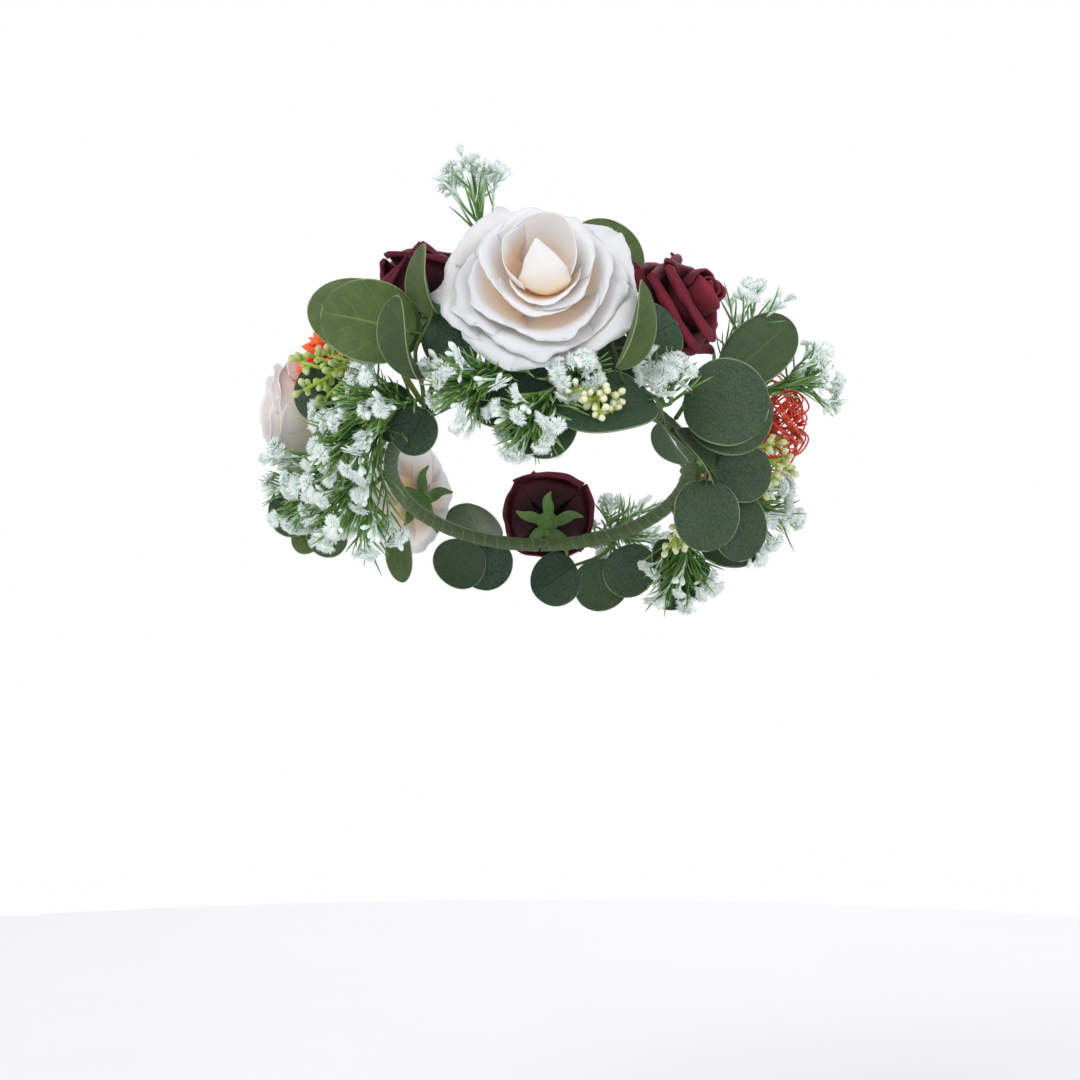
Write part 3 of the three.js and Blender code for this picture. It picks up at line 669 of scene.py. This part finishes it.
def strap(
    piece, place, path, widths, thickness=SILK, cup=0.0, facing=(0, 0, 1), style=0.0, nu=7, nv=9, teeth=0.0
):
    """A narrow petal along a path of points in mm in the flower's frame, with its half widths. Teeth
    is how far every second point of its end is set back, as a share of its length."""
    u = np.linspace(-1, 1, nu)[:, None]
    v = np.linspace(0, 1, nv)
    seed = rng.random()
    line = spline(path, v)
    tangent = unit(np.gradient(line, axis=0))
    side = unit(np.cross(facing, tangent) + 1e-6)
    normal = np.cross(tangent, side)
    half = np.interp(v, np.linspace(0, 1, len(widths)), widths)
    shift = half * u
    grid = line + side * shift[..., None] + normal * (cup * half * u**2)[..., None]
    if teeth:
        back = np.where(np.arange(nu) % 2 == 1, teeth, 0.0)[:, None] * (v > 0.99)
        grid = grid - tangent * (back * np.linalg.norm(path[-1] - path[0]))[..., None]
    flat = shift, v * travelled(path)[-1]
    piece.skin(moved(place, grid * MM), thickness * MM, flat, v, u, seed, style)


def around(radius, height, azimuth):
    a = math.radians(azimuth)
    return np.array([radius * math.cos(a), radius * math.sin(a), height])


# ---- Flower stems ----
CALYX_LENGTH, SEPAL_LENGTH = 11, 22
BESIDE_TAPE = (5.5, 3)  # where each stem's foot sits: mm outwards and mm up


def flower_stem(name):
    """A calyx with sepals, and a stem that bends down to the hoop. It returns the flower's place."""
    seat, faces = FLOWERS[name]
    place = stand(at(*seat), heading(*faces))
    origin, z = place[:3, 3], place[:3, 2]
    foot = at(seat[0], *BESIDE_TAPE)
    drop = np.clip(np.dot(origin - foot, z) / MM, CALYX_LENGTH + 1, 2 * CALYX_LENGTH)
    low = origin - z * drop * MM
    piece = Piece()
    piece.tube(curve([origin - z * 6 * MM, low + (foot - low) * 0.4, foot], 14), 1.6 * MM, 10, 0.3)
    heights = np.array([-11, -9, -6, -3, -1, -0.6])
    radii = np.array([1.5, 2.4, 3.6, 5.4, 6.6, 3.0])
    piece.tube(origin + z * heights[:, None] * MM, radii * MM, 16, 0.1)
    for a in range(20, 380, 72):
        reach = SEPAL_LENGTH * rng.uniform(0.9, 1.05)
        path = [
            around(2.5, -6.5, a), around(reach * 0.4, -2.4, a + 2),
            around(reach * 0.72, -1.8, a - 2), around(reach, -4.5, a + 4),
        ]
        widths = [1.2, reach * 0.15, reach * 0.17, reach * 0.1, 0.3]
        strap(piece, place, path, widths, 0.5, cup=0.15, nv=14)
    piece.build(name + "_stem", "stem", STEM)
    return place


# ---- Roses ----
def front_rose():
    name = "front_rose"
    place = flower_stem(name)
    outer, middle, inner, heart = (Piece() for _ in range(4))
    ring = dict(tip=0.08, uneven=2.6, jitter=10, waves=3.2, crimp=0.011)
    profile = [(5, 1), (22, 2.5), (37, 7), (45, 9.6), (49.5, 9.4), (51.5, 7.8)]
    rose_ring(outer, place, 5, 50, profile, 40, wave=2.4, side_curl=2.4, slope=0.03, **ring)
    profile = [(5, 3), (19, 5), (31, 9.5), (37.5, 13), (41.6, 14), (44, 12.6)]
    rose_ring(outer, place, 5, 52, profile, -8, wave=2.2, side_curl=3.0, slope=0.06, **ring)
    profile = [(5, 4), (16, 6.5), (25, 11.5), (30, 16.5), (33.4, 18.6), (35.6, 18)]
    rose_ring(middle, place, 4, 60, profile, 24, wave=1.6, side_curl=2.4, slope=0.1, deep=1.0, **ring)
    # large lobes stand up at the left, at the upper right and between them
    lobe = dict(wave=1.4, waves=3.0, tip=0.05, side_curl=2.4, slope=0.2)
    profile = [(4, 9), (12, 13), (20, 20), (24.5, 26), (28, 29), (31, 28.6)]
    for turn, half, spiral, deep in ((168, 56, -0.1, 0.35), (54, 66, 0.08, 0.1), (100, 48, 0.0, 0.1)):
        petal(middle, place, turn, half, profile, spiral=spiral, deep=deep, **lobe)
    low = [(3, 10), (11, 14), (18, 19.5), (21.8, 24.5), (24.6, 26.6), (26.2, 26.4)]
    bowl = [(3, 12), (10, 16.5), (16.4, 23), (19.4, 28.4), (21.4, 30.8), (22.6, 31)]
    left = [(3, 13), (10, 18), (15.6, 25), (17.6, 31.5), (18.4, 36.5), (18.6, 39)]
    right = [(3, 13), (10, 18), (16, 25), (18.8, 32), (19.6, 38), (19, 42)]
    for turn, half, profile, spiral, deep in (
        (258, 66, low, 0.1, 0.5), (322, 60, low, 0.1, 0.3), (284, 76, bowl, 0.12, 0.4),
        (176, 62, left, -0.08, 0.9), (62, 90, right, 0.04, 0.05),
    ):
        wrap = dict(wave=0.9, waves=3.4, tip=0.03, slope=0.24, spiral=spiral, deep=deep)
        petal(inner, place, turn, half, profile, **wrap)
    profile = [(2, 13), (6, 19), (8.2, 25), (7.6, 30), (4.4, 33.4), (1.0, 34.6)]
    for turn in (20, 148, 265):
        petal(heart, place, turn, 80, profile, wave=0.3, droop=0.1, base=0.85, shift=2, deep=0.7)
    # the last petal closes over the others, with straight edges that meet in a point above them
    path = (2, -5, 12), (2.5, -11, 18), (2.5, -14, 25), (1.5, -11.5, 32.5), (-0.5, -3.5, 39), (-2, 5, 43.5)
    widths = [5, 9.5, 13.5, 12.5, 8, 0.6]
    strap(heart, place, path, widths, cup=-0.4, facing=(0, -1, 0.2), nu=25, nv=34)
    layers = {"outer_petals": outer, "middle_petals": middle, "inner_petals": inner, "heart": heart}
    for layer, piece in layers.items():
        piece.build(f"{name}_{layer}", "cream_silk", CREAM)


def small_rose(name, material):
    place = flower_stem(name)
    silk = dict(tip=0.035, uneven=1.4)
    outer = Piece()
    profile = [(4, 1), (16, 3), (26, 9), (31, 15.5), (34, 17.4), (35.3, 17)]
    rose_ring(outer, place, 5, 52, profile, 30, wave=1.1, side_curl=1.8, **silk)
    profile = [(4, 3), (14, 6), (22.5, 13.5), (27, 20.5), (29.5, 23), (30.8, 23.2)]
    rose_ring(outer, place, 4, 60, profile, 62, wave=0.9, side_curl=1.6, **silk)
    outer.build(name + "_outer_petals", "cream_silk", material)
    inner = Piece()
    profile = [(3, 6), (10.5, 10), (17, 18.5), (20.5, 26), (22.4, 28.6)]
    rose_ring(inner, place, 4, 62, profile, 80, wave=0.7, side_curl=1.0, spiral=0.06, **silk)
    profile = [(2.5, 8), (8, 13), (12.5, 21), (14.6, 28), (15.2, 31)]
    rose_ring(inner, place, 3, 76, profile, 20, wave=0.4, spiral=0.1, **silk)
    bud = moved(place, on_axis(np.array([12, 20, 26, 30, 31.5])))
    inner.tube(bud, np.array([3, 5.5, 6, 3.5, 0.8]) * MM, 16, 0.2)
    for turn, r in ((60, 10.5), (180, 9.2), (300, 7.6)):
        profile = [(1.5, 9), (r * 0.75, 15), (r, 22.5), (r * 0.95, 28), (r * 0.6, 32), (0.8, 34.2)]
        petal(inner, place, turn, 112, profile, wave=0.2, droop=0.26, spiral=0.1, base=0.85)
    inner.build(name + "_inner_petals", "cream_silk", material)


def rolled_lip(rise, radius, height, roll):
    """The profile of a foam petal from its foot to the lip that is rolled back at its rim."""
    return [
        (2.5, rise), (radius * 0.55, rise + (height - rise) * 0.3), (radius * 0.84, height * 0.68),
        (radius - roll, height - 0.3 * roll), (radius - 0.2 * roll, height + 0.9 * roll),
        (radius + roll, height + 0.1 * roll), (radius + 0.35 * roll, height - 0.9 * roll),
    ]


def foam_rose(name, material, straight=0.95):
    """Foam petals whose rims are rolled back into straight lips that meet at points."""
    place = flower_stem(name)
    foam = dict(
        wave=0.5, crimp=0.003, droop=0.05, straight=straight, nu=22, nv=34, uneven=0.6, jitter=4,
        thickness=FOAM_SHEET,
    )
    outer = Piece()
    rose_ring(outer, place, 4, 46, rolled_lip(1.5, 24, 11, 2.6), 5, **foam)
    rose_ring(outer, place, 4, 47, rolled_lip(4, 20.5, 18.5, 2.5), 22, **foam)
    outer.build(name + "_outer_petals", "burgundy_foam", material)
    inner = Piece()
    rose_ring(inner, place, 3, 58, rolled_lip(7, 15, 26.5, 2.4), 82, **foam)
    for turn, r, top in ((78, 11.0, 38), (196, 10.4, 40), (318, 8.6, 40.5)):
        profile = [(1.5, 12), (r * 0.75, 18), (r, 27), (r * 1.02, 34), (r * 0.86, top)]
        wrap = dict(wave=0.2, crimp=0.002, droop=0.2, spiral=0.1, base=0.85)
        petal(inner, place, turn, 84, profile, 1.1, **wrap)
    for turn, r in ((20, 6.2), (200, 4.4)):
        profile = [(1.5, 14), (r * 0.8, 22), (r, 32), (r * 0.8, 39)]
        wrap = dict(wave=0.1, crimp=0.002, droop=0.1, spiral=0.16, base=0.9)
        petal(inner, place, turn, 120, profile, 1.0, **wrap)
    inner.build(name + "_inner_petals", "burgundy_foam", material)


def dahlia():
    name = "orange_dahlia"
    place = flower_stem(name)
    layers = {
        "outer_petals": [(11, 29.5, 3.0, 6.5, 0), (11, 27.5, 6.0, 10.0, 16)],
        "inner_petals": [(10, 22.5, 9.0, 14.0, 5), (8, 16, 11.5, 18.0, 22), (6, 8.5, 13.5, 20.0, 0)],
    }
    for layer, rings in layers.items():
        piece = Piece()
        for count, reach, low, high, first in rings:
            for i in range(count):
                a = first + 360 * i / count + rng.uniform(-4, 4)
                top = high + rng.uniform(-1.2, 1.2)
                points = (2, low * 0.6), (reach * 0.45, low), (reach * 0.8, (low + top) / 2), (reach, top)
                wide = reach * 0.2
                widths = [1.2, wide * 0.9, wide * 1.15, wide * 0.9, 0.15]
                strap(piece, place, [around(r, z, a) for r, z in points], widths, 0.45, cup=0.45, nv=12)
        piece.build(f"{name}_{layer}", "orange_silk", ORANGE)


def pincushion(hooks=46, knobs=60):
    name = "pincushion"
    place = flower_stem(name)
    styles = Piece()
    share = np.linspace(0, 1, 24)
    radii = np.interp(share, [0, 0.9, 0.96, 1], [0.65, 0.5, 0.95, 0.5]) * MM
    for i in range(hooks):
        a = GOLDEN * i + rng.uniform(-4, 4)
        tier = (i + 0.5) / hooks
        low = 2 + 12 * tier
        wide = 30 * (1 - 0.42 * tier**1.5) * rng.uniform(0.92, 1.02)
        top = (23 + 11 * tier) * rng.uniform(0.9, 1.04)
        twist = rng.uniform(40, 66)
        path = [
            around(4.5, low, a),
            around(wide * 0.68, low + 1, a + twist * 0.12),
            around(wide, low + (top - low) * 0.42, a + twist * 0.4),
            around(wide * 0.84, low + (top - low) * 0.84, a + twist * 0.8),
            around(wide * rng.uniform(0.42, 0.56), top, a + twist * 1.15),
            around(wide * 0.24, top - 5, a + twist * 1.4),
        ]
        styles.tube(moved(place, spline(path, share) * MM), radii, 5, rng.random())
    styles.build(name + "_styles", "red_styles", STYLES)
    cone = Piece()
    width_at = lambda height: np.interp(height, [1.5, 4, 10, 15, 18.5], [4, 7, 7.5, 5, 1.2])
    heights = np.linspace(1.5, 18.5, 10)
    cone.tube(moved(place, on_axis(heights)), width_at(heights) * MM, 20, 0.8)
    for i in range(knobs):
        a, h = GOLDEN * i, 3 + 14.5 * (i + 0.5) / knobs
        r = width_at(h)
        line = np.array([around(r - 0.6, h, a), around(r + 0.7, h + 0.5, a), around(r + 1.4, h + 1.4, a)])
        cone.tube(moved(place, line * MM), np.array([0.9, 0.8, 0.3]) * MM, 6, rng.random())
    cone.build(name + "_cone", "red_styles", STYLES)


# ---- Gypsophila and berries ----
def fringed_head(radius):
    """A flattish pompom of narrow toothed petals on z, with its stalk below."""
    piece = Piece()
    for count, lean_out, reach in ((16, 88, 1.0), (14, 68, 1.0), (11, 48, 0.96), (7, 26, 0.92)):
        for i in range(count):
            a = 360 * i / count + lean_out * 3 + rng.uniform(-7, 7)
            t = math.radians(lean_out + rng.uniform(-8, 8))
            far = radius * reach * rng.uniform(0.86, 1.06)
            tip = around(far * math.sin(t), 0.7 * far * math.cos(t), a)
            mid = around(0.5 * far * math.sin(t * 0.85), 0.4 * far * math.cos(t * 0.85), a)
            path = np.array([around(0.4, 0, a), mid, tip])
            widths = [0.25, radius * 0.09, radius * 0.12]
            strap(piece, np.eye(4), path, widths, cup=0.15, facing=(0.05, 0.03, 1), teeth=0.3, **TOOTHED)
    piece.tube(on_axis(np.array([-3.2, -1.5, 1.2])), np.array([0.6, 1.2, radius * 0.3]) * MM, 6, 0, 0.9)
    return piece.arrays()


def fan_head(radius):
    """A half-open head: toothed petals spread in a fan, with a few more behind them."""
    piece = Piece()
    for count, spread, back in ((11, 66, 0.9), (9, 50, -0.8), (6, 32, 2.0)):
        for i in range(count):
            g = math.radians(spread * (2 * (i + 0.5) / count - 1) + rng.uniform(-4, 4))
            far = radius * rng.uniform(1.15, 1.45)
            tip = np.array([far * math.sin(g), back * rng.uniform(0.7, 1.3), far * math.cos(g) - 1])
            path = np.array([[0, 0, -1.5], tip * [0.45, 0.5, 0.5], tip])
            widths = [0.3, radius * 0.08, radius * 0.13]
            strap(piece, np.eye(4), path, widths, cup=0.1, facing=(0.04, 1, 0.02), teeth=0.26, **TOOTHED)
    piece.tube(on_axis(np.array([-4, -1.5, 1.0])), np.array([0.55, 0.9, 1.1]) * MM, 6, 0, 0.9)
    return piece.arrays()


def bud_head(radius, length):
    piece = Piece()
    heights = np.array([-3, -1.6, 0, 1.4, 2.5, 3.1]) * (length / 3)
    radii = np.array([0.45, 0.8, 1.4, 1.7, 1.1, 0.2]) * radius / 1.7
    piece.tube(on_axis(heights), radii * MM, 8, 0, np.array([0.5, 0.7, 1, 1, 1, 1]))
    return piece.arrays()


def needle():
    piece = Piece()
    v = np.linspace(0, 1, 6)
    path = columns(0.06 * np.sin(v * 2.4), 0, v)
    piece.tube(path, np.interp(v, [0, 0.3, 0.8, 1], [0.024, 0.034, 0.024, 0.008]), 4)
    return piece.arrays()


TOOTHED = dict(style=1.0, nu=4, nv=3)
HEADS = [fringed_head(5.9) for _ in range(4)]
FANS = [fan_head(5.6) for _ in range(3)]
BUD = bud_head(1.5, 4.2)
BERRY_BUD = bud_head(1.85, 3.0)
NEEDLE = needle()


def tipped(direction, lean_out, turn):
    """A direction leaned away from another by an angle, turned about it."""
    m = stand((0, 0, 0), direction)
    l, t = math.radians(lean_out), math.radians(turn)
    return m[:3, :3] @ np.array([math.sin(l) * math.cos(t), math.sin(l) * math.sin(t), math.cos(l)])


def main_stem(piece, foot, root, faces, reach, *looks):
    """A spray's stem, from its foot on the hoop, past its root, to two thirds of its reach. Returns its
    line, the root and the direction of the spray."""
    base, axis = at(*root), heading(*faces)
    return piece.stalk([at(*foot), base, base + axis * reach * 0.66 * MM], 16, *looks), base, axis


def branches(base, axis, reach, fan, count):
    """The branches of a spray, in a spiral: where each leaves the stem, its tip and its direction."""
    for i in range(count):
        share = (i + 0.5) / count
        out = tipped(axis, fan * math.sqrt(1 - share) * rng.uniform(0.85, 1.1), GOLDEN * i)
        start = base + axis * reach * MM * (0.12 + 0.5 * share)
        tip = base + out * reach * MM * (0.72 + 0.2 * share) * rng.uniform(0.78, 1.08)
        yield start, tip, unit(tip - start), share


def foliage(piece, line, count, long, first=0.0):
    """Needles along a stem, in pairs that lean forwards."""
    for k in range(count):
        t = (k + 0.5 + rng.uniform(-0.3, 0.3)) / count
        ahead = unit(spline(line, min(t + 0.05, 1)) - spline(line, t - 0.05))
        way = tipped(ahead, rng.uniform(16, 38), first + 180 * (k % 2) + rng.uniform(-35, 35))
        size = long * rng.uniform(0.75, 1.25) * (1 - 0.3 * t)
        place = stand(spline(line, t), way, unit(rng.normal(size=3)))
        piece.stamp(NEEDLE, place, size * MM, rng.random())


def gypsophila(name, foot, root, faces, reach, fan, count, full, leafy):
    piece = Piece()
    main, base, axis = main_stem(piece, foot, root, faces, reach, (1.3, 0.8), 7, 0.4)
    foliage(piece, main[5:], round(15 * leafy), 25)
    paleness = np.interp(np.linspace(0, 1, 9), [0, 0.45, 1], [0, 0.1, 0.85])
    for start, tip, out, share in branches(base, axis, reach, fan, count):
        bow = unit(np.cross(out, rng.normal(size=3))) * np.linalg.norm(tip - start) * 0.08
        line = piece.stalk([start, (start + tip) / 2 + bow, tip], 9, (0.8, 0.6), 6, rng.random(), paleness)
        foliage(piece, line[:8], round(9 * leafy), 21, 90 * share)
        arms = 2 + int(rng.random() < 0.7) + int(rng.random() < full * 0.5)
        for k in range(arms):
            lean_out = rng.uniform(18, 50) if k else rng.uniform(0, 14)
            way = tipped(out, lean_out, 360 * k / arms + rng.uniform(-30, 30))
            leave = spline(line, 1 - 0.12 * k * rng.uniform(0.5, 1.2))
            end = tip + way * rng.uniform(5, 11) * MM
            points = [leave, (leave + end) / 2 + out * 1.0 * MM, end]
            arm = piece.stalk(points, 6, (0.55, 0.7), 5, rng.random(), np.linspace(0.7, 1, 6))
            place = stand(end, way, unit(rng.normal(size=3)))
            pick, size = rng.random(), rng.uniform(0.85, 1.12)
            if pick < full * 0.62:
                head = HEADS[rng.integers(len(HEADS))]
            elif pick < 0.3 + 0.7 * full:
                head = FANS[rng.integers(len(FANS))]
            else:
                head, size = BUD, size * 1.1
            piece.stamp(head, place, size, rng.random() * 0.6)
            if rng.random() < 0.6:
                side = tipped(way, rng.uniform(35, 60), rng.uniform(0, 360))
                club = arm[3] + side * rng.uniform(2.5, 4.5) * MM
                piece.tube([arm[3], (arm[3] + club) / 2, club], 0.5 * MM, 5, 0.2, 1.0)
                piece.stamp(BUD, stand(club, side), rng.uniform(0.7, 0.95), 0.2)
    for k in range(round(4 * leafy)):
        way = tipped(axis, rng.uniform(6, fan), GOLDEN * k + 60)
        start = spline(main, 0.4 + 0.4 * k / (4 * leafy))
        end = start + way * reach * rng.uniform(0.45, 0.62) * MM
        points = [start, (start + end) / 2 + axis * 2 * MM, end]
        shoot = piece.stalk(points, 9, (0.8, 0.4), 6, rng.random() * 0.5)
        foliage(piece, shoot, 13, 22, GOLDEN * k)
    piece.build("gypsophila_" + name, "gypsophila", WHITE)


def berry_pick(name, foot, root, faces, reach, fan, count, cream):
    piece = Piece()
    _, base, axis = main_stem(piece, foot, root, faces, reach, (1.6, 1.2), 8, 0.2)
    for start, tip, out, _ in branches(base, axis, reach, fan, count):
        points = [start, (start * 0.45 + tip * 0.55) + axis * 1.5 * MM, tip]
        line = piece.stalk(points, 9, (1.15, 0.95), 7, rng.random() * 0.5)
        heads = 4 + int(rng.random() * 3)
        for k in range(heads):
            lean_out = rng.uniform(35, 85) if k else 0
            way = tipped(out, lean_out, 360 * k / heads + rng.uniform(-20, 20))
            leave = spline(line, 1 - 0.09 * k * rng.uniform(0.6, 1.2))
            end = leave + way * rng.uniform(2.6, 4.2) * MM
            stalk = [leave, (leave + end) / 2, end]
            piece.tube(stalk, 0.8 * MM, 6, rng.random() * 0.5, [0, 0.1, 0.3 * cream])
            size = rng.uniform(0.85, 1.15)
            *bud, style = BERRY_BUD
            head = *bud, style * (0.25 + 0.75 * cream) * rng.uniform(0.7, 1.0)
            piece.stamp(head, stand(end, way), size, rng.random() * 0.5)
    piece.build("berry_pick_" + name, "berry", BERRY)


# ---- Eucalyptus ----
def leaf(piece, base, tip, faces, width, fold, pale):
    """A round leaf: its sides fold up from the midrib, its tip bends back and its rim waves a little.
    Returns its base and its direction."""
    base, tip = at(*base), at(*tip)
    length = np.linalg.norm(tip - base)
    spine = unit(tip - base)
    side = unit(np.cross(spine, heading(*faces)))
    face = np.cross(side, spine)
    u = np.linspace(-1, 1, 17)[:, None]
    v = (1 - np.cos(np.linspace(0, math.pi, 24)))[None, :] / 2
    seed = rng.random()
    span = np.sqrt(np.maximum(1 - np.abs(2 * v**0.93 - 1) ** 2.15, 0)) * width / 2 * MM
    span = np.maximum(span, 0.25 * MM)
    angle = fold * (1 - 0.5 * v) * 1.2
    crease = np.sqrt(u**2 + 0.03) - math.sqrt(0.03)
    x = u * span * np.cos(angle)
    rise = crease * span * np.sin(angle)
    bend = rng.uniform(0.03, 0.1) * length
    rise = rise - bend * (2 * v - 1) ** 2 + bend * 0.4
    rise = rise + 0.5 * MM * np.sin(6 * v + 3 * u + seed * 9) * np.abs(u) ** 2
    grid = base + spine * (v * length)[..., None] + side * x[..., None] + face * rise[..., None]
    piece.skin(grid, LEAF_SHEET * MM, (u * span / MM, v * length / MM), v, u, seed, pale)
    return base, spine


def eucalyptus(name, *leaves):
    piece = Piece()
    line = piece.stalk([at(*joint) for joint in SPRIG_STEMS[name]], 24, (1.3, 0.9), 8, 0.4, 0.7)
    for each in leaves:
        start, spine = leaf(piece, *each)
        near = line[np.argmin(np.linalg.norm(line - start, axis=1))]
        points = [near, (near + start) / 2 - spine * 1.5 * MM, start + spine * 3 * MM]
        piece.stalk(points, 7, (0.95, 0.6), 6, 0.4, 0.8)
    piece.build("eucalyptus_" + name, "eucalyptus", LEAF)


# ---- Hoop ----
def wrapped_hoop(turns=34, steps=420, sides=20):
    """Tape wound in overlapping turns round the wire, in two runs that meet at the front and back."""
    for node, side in (("tape_wrap_right", 1), ("tape_wrap_left", -1)):
        t = np.linspace(0.35, 179.65, steps) * side
        centre = np.array([at(turn, 0, 0) for turn in t])
        out = np.array([heading(turn, 0) for turn in t])
        a, ring = circles(sides, out, np.tile(heading(0, 90), (steps, 1)))
        winding = (np.abs(t)[:, None] / 180 * turns + a[None, :] * side / (2 * math.pi)) % 1
        radius = TAPE_RADIUS * (0.93 + 0.07 * winding)
        points = (centre[:, None] + ring * radius[..., None]).reshape(-1, 3)
        index, quads = sleeve(steps, sides)
        caps = []
        for row, outwards in ((index[0], side > 0), (index[-1], side < 0)):
            fan = columns(row[0], row[1:-1], row[2:])
            caps.append(fan if outwards else fan[:, ::-1])
        cloth = columns(np.tile(a * 4, steps), np.repeat(travelled(centre) / MM, sides), 3.0 * side)
        mark = columns(np.repeat(np.abs(t) / 180, sides), winding.ravel(), 0.5)
        piece = Piece()
        piece.add(points, quads[:, ::-side], np.concatenate(caps), cloth, mark, 0.0)
        piece.build(node, "tape", TAPE)


# ---- The crown ----
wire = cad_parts["hoop_wire"].data
wire.materials.clear()
wire.materials.append(WIRE)
wrapped_hoop()
fresh(11)
front_rose()
for seed, name in enumerate(("left_side_rose", "right_side_rose", "rear_left_rose")):
    fresh(20 + seed)
    # the rose on the left side takes the cream silk's copy with painted shade
    small_rose(name, CREAM_PAINTED_SHADE if name == "left_side_rose" else CREAM)
fresh(30)
foam_rose("right_foam_rose", FOAM)
# the left and rear foam roses take the foam's copy with painted shade
foam_rose("left_foam_rose", FOAM_PAINTED_SHADE)
foam_rose("rear_foam_rose", FOAM_PAINTED_SHADE, 0.3)
dahlia()
pincushion()
sets = (gypsophila, GYPSOPHILA, 40), (berry_pick, BERRIES, 80), (eucalyptus, SPRIG_LEAVES, 100)
for make, sprays, first in sets:
    for seed, (name, spray) in enumerate(sprays.items()):
        fresh(first + seed)
        make(name, *spray)


# ---- Studio ----
def floor(sides=96, radius=1.3, height=-0.42):
    """A wide pale disc below the crown."""
    mesh = bpy.data.meshes.new("floor")
    turns = [2 * math.pi * i / sides for i in range(sides)]
    rim = [(radius * math.cos(a), radius * math.sin(a), height) for a in turns]
    mesh.from_pydata(rim, [], [list(range(sides))])
    m = new_material("floor")
    place = m.node("ShaderNodeNewGeometry").outputs["Position"]
    colour = m.mix(m.noise(place, 6.0, 2.0), rgb(250, 250, 250), rgb(253, 253, 253))
    mesh.materials.append(m.finish(base_color=colour, roughness=0.9))
    place_object("floor", mesh)


floor()
# name: where each disc light stands, its size and its power; they all look at the crown's middle
SOFTBOXES = {
    "key": ((-1.1, -1.7, 1.8), 1.3, 22),
    "fill": ((1.6, -1.4, 0.7), 1.6, 5),
    "back": ((0.4, 1.9, 1.4), 1.4, 12),
}
for name, (place, size, power) in SOFTBOXES.items():
    light = bpy.data.lights.new(name, "AREA")
    light.shape = "DISK"
    light.size = size
    light.energy = power
    box = place_object(name, light)
    box.location = place
    box.rotation_euler = (-Vector(place)).to_track_quat("-Z", "Y").to_euler()
# the walls of the light tent are white at eye level and dimmer overhead
tent = Nodes(bpy.data.worlds.new("studio"), "Background")
height = tent.split(tent.node("ShaderNodeTexCoord").outputs["Generated"])["Z"]
dimmer = tent.remap(height, 0.3, 0.9, 0.45, 1.0)
bpy.context.scene.world = tent.finish(color=(1, 1, 1.05, 1), strength=dimmer)
bpy.context.scene.view_settings.view_transform = "Standard"
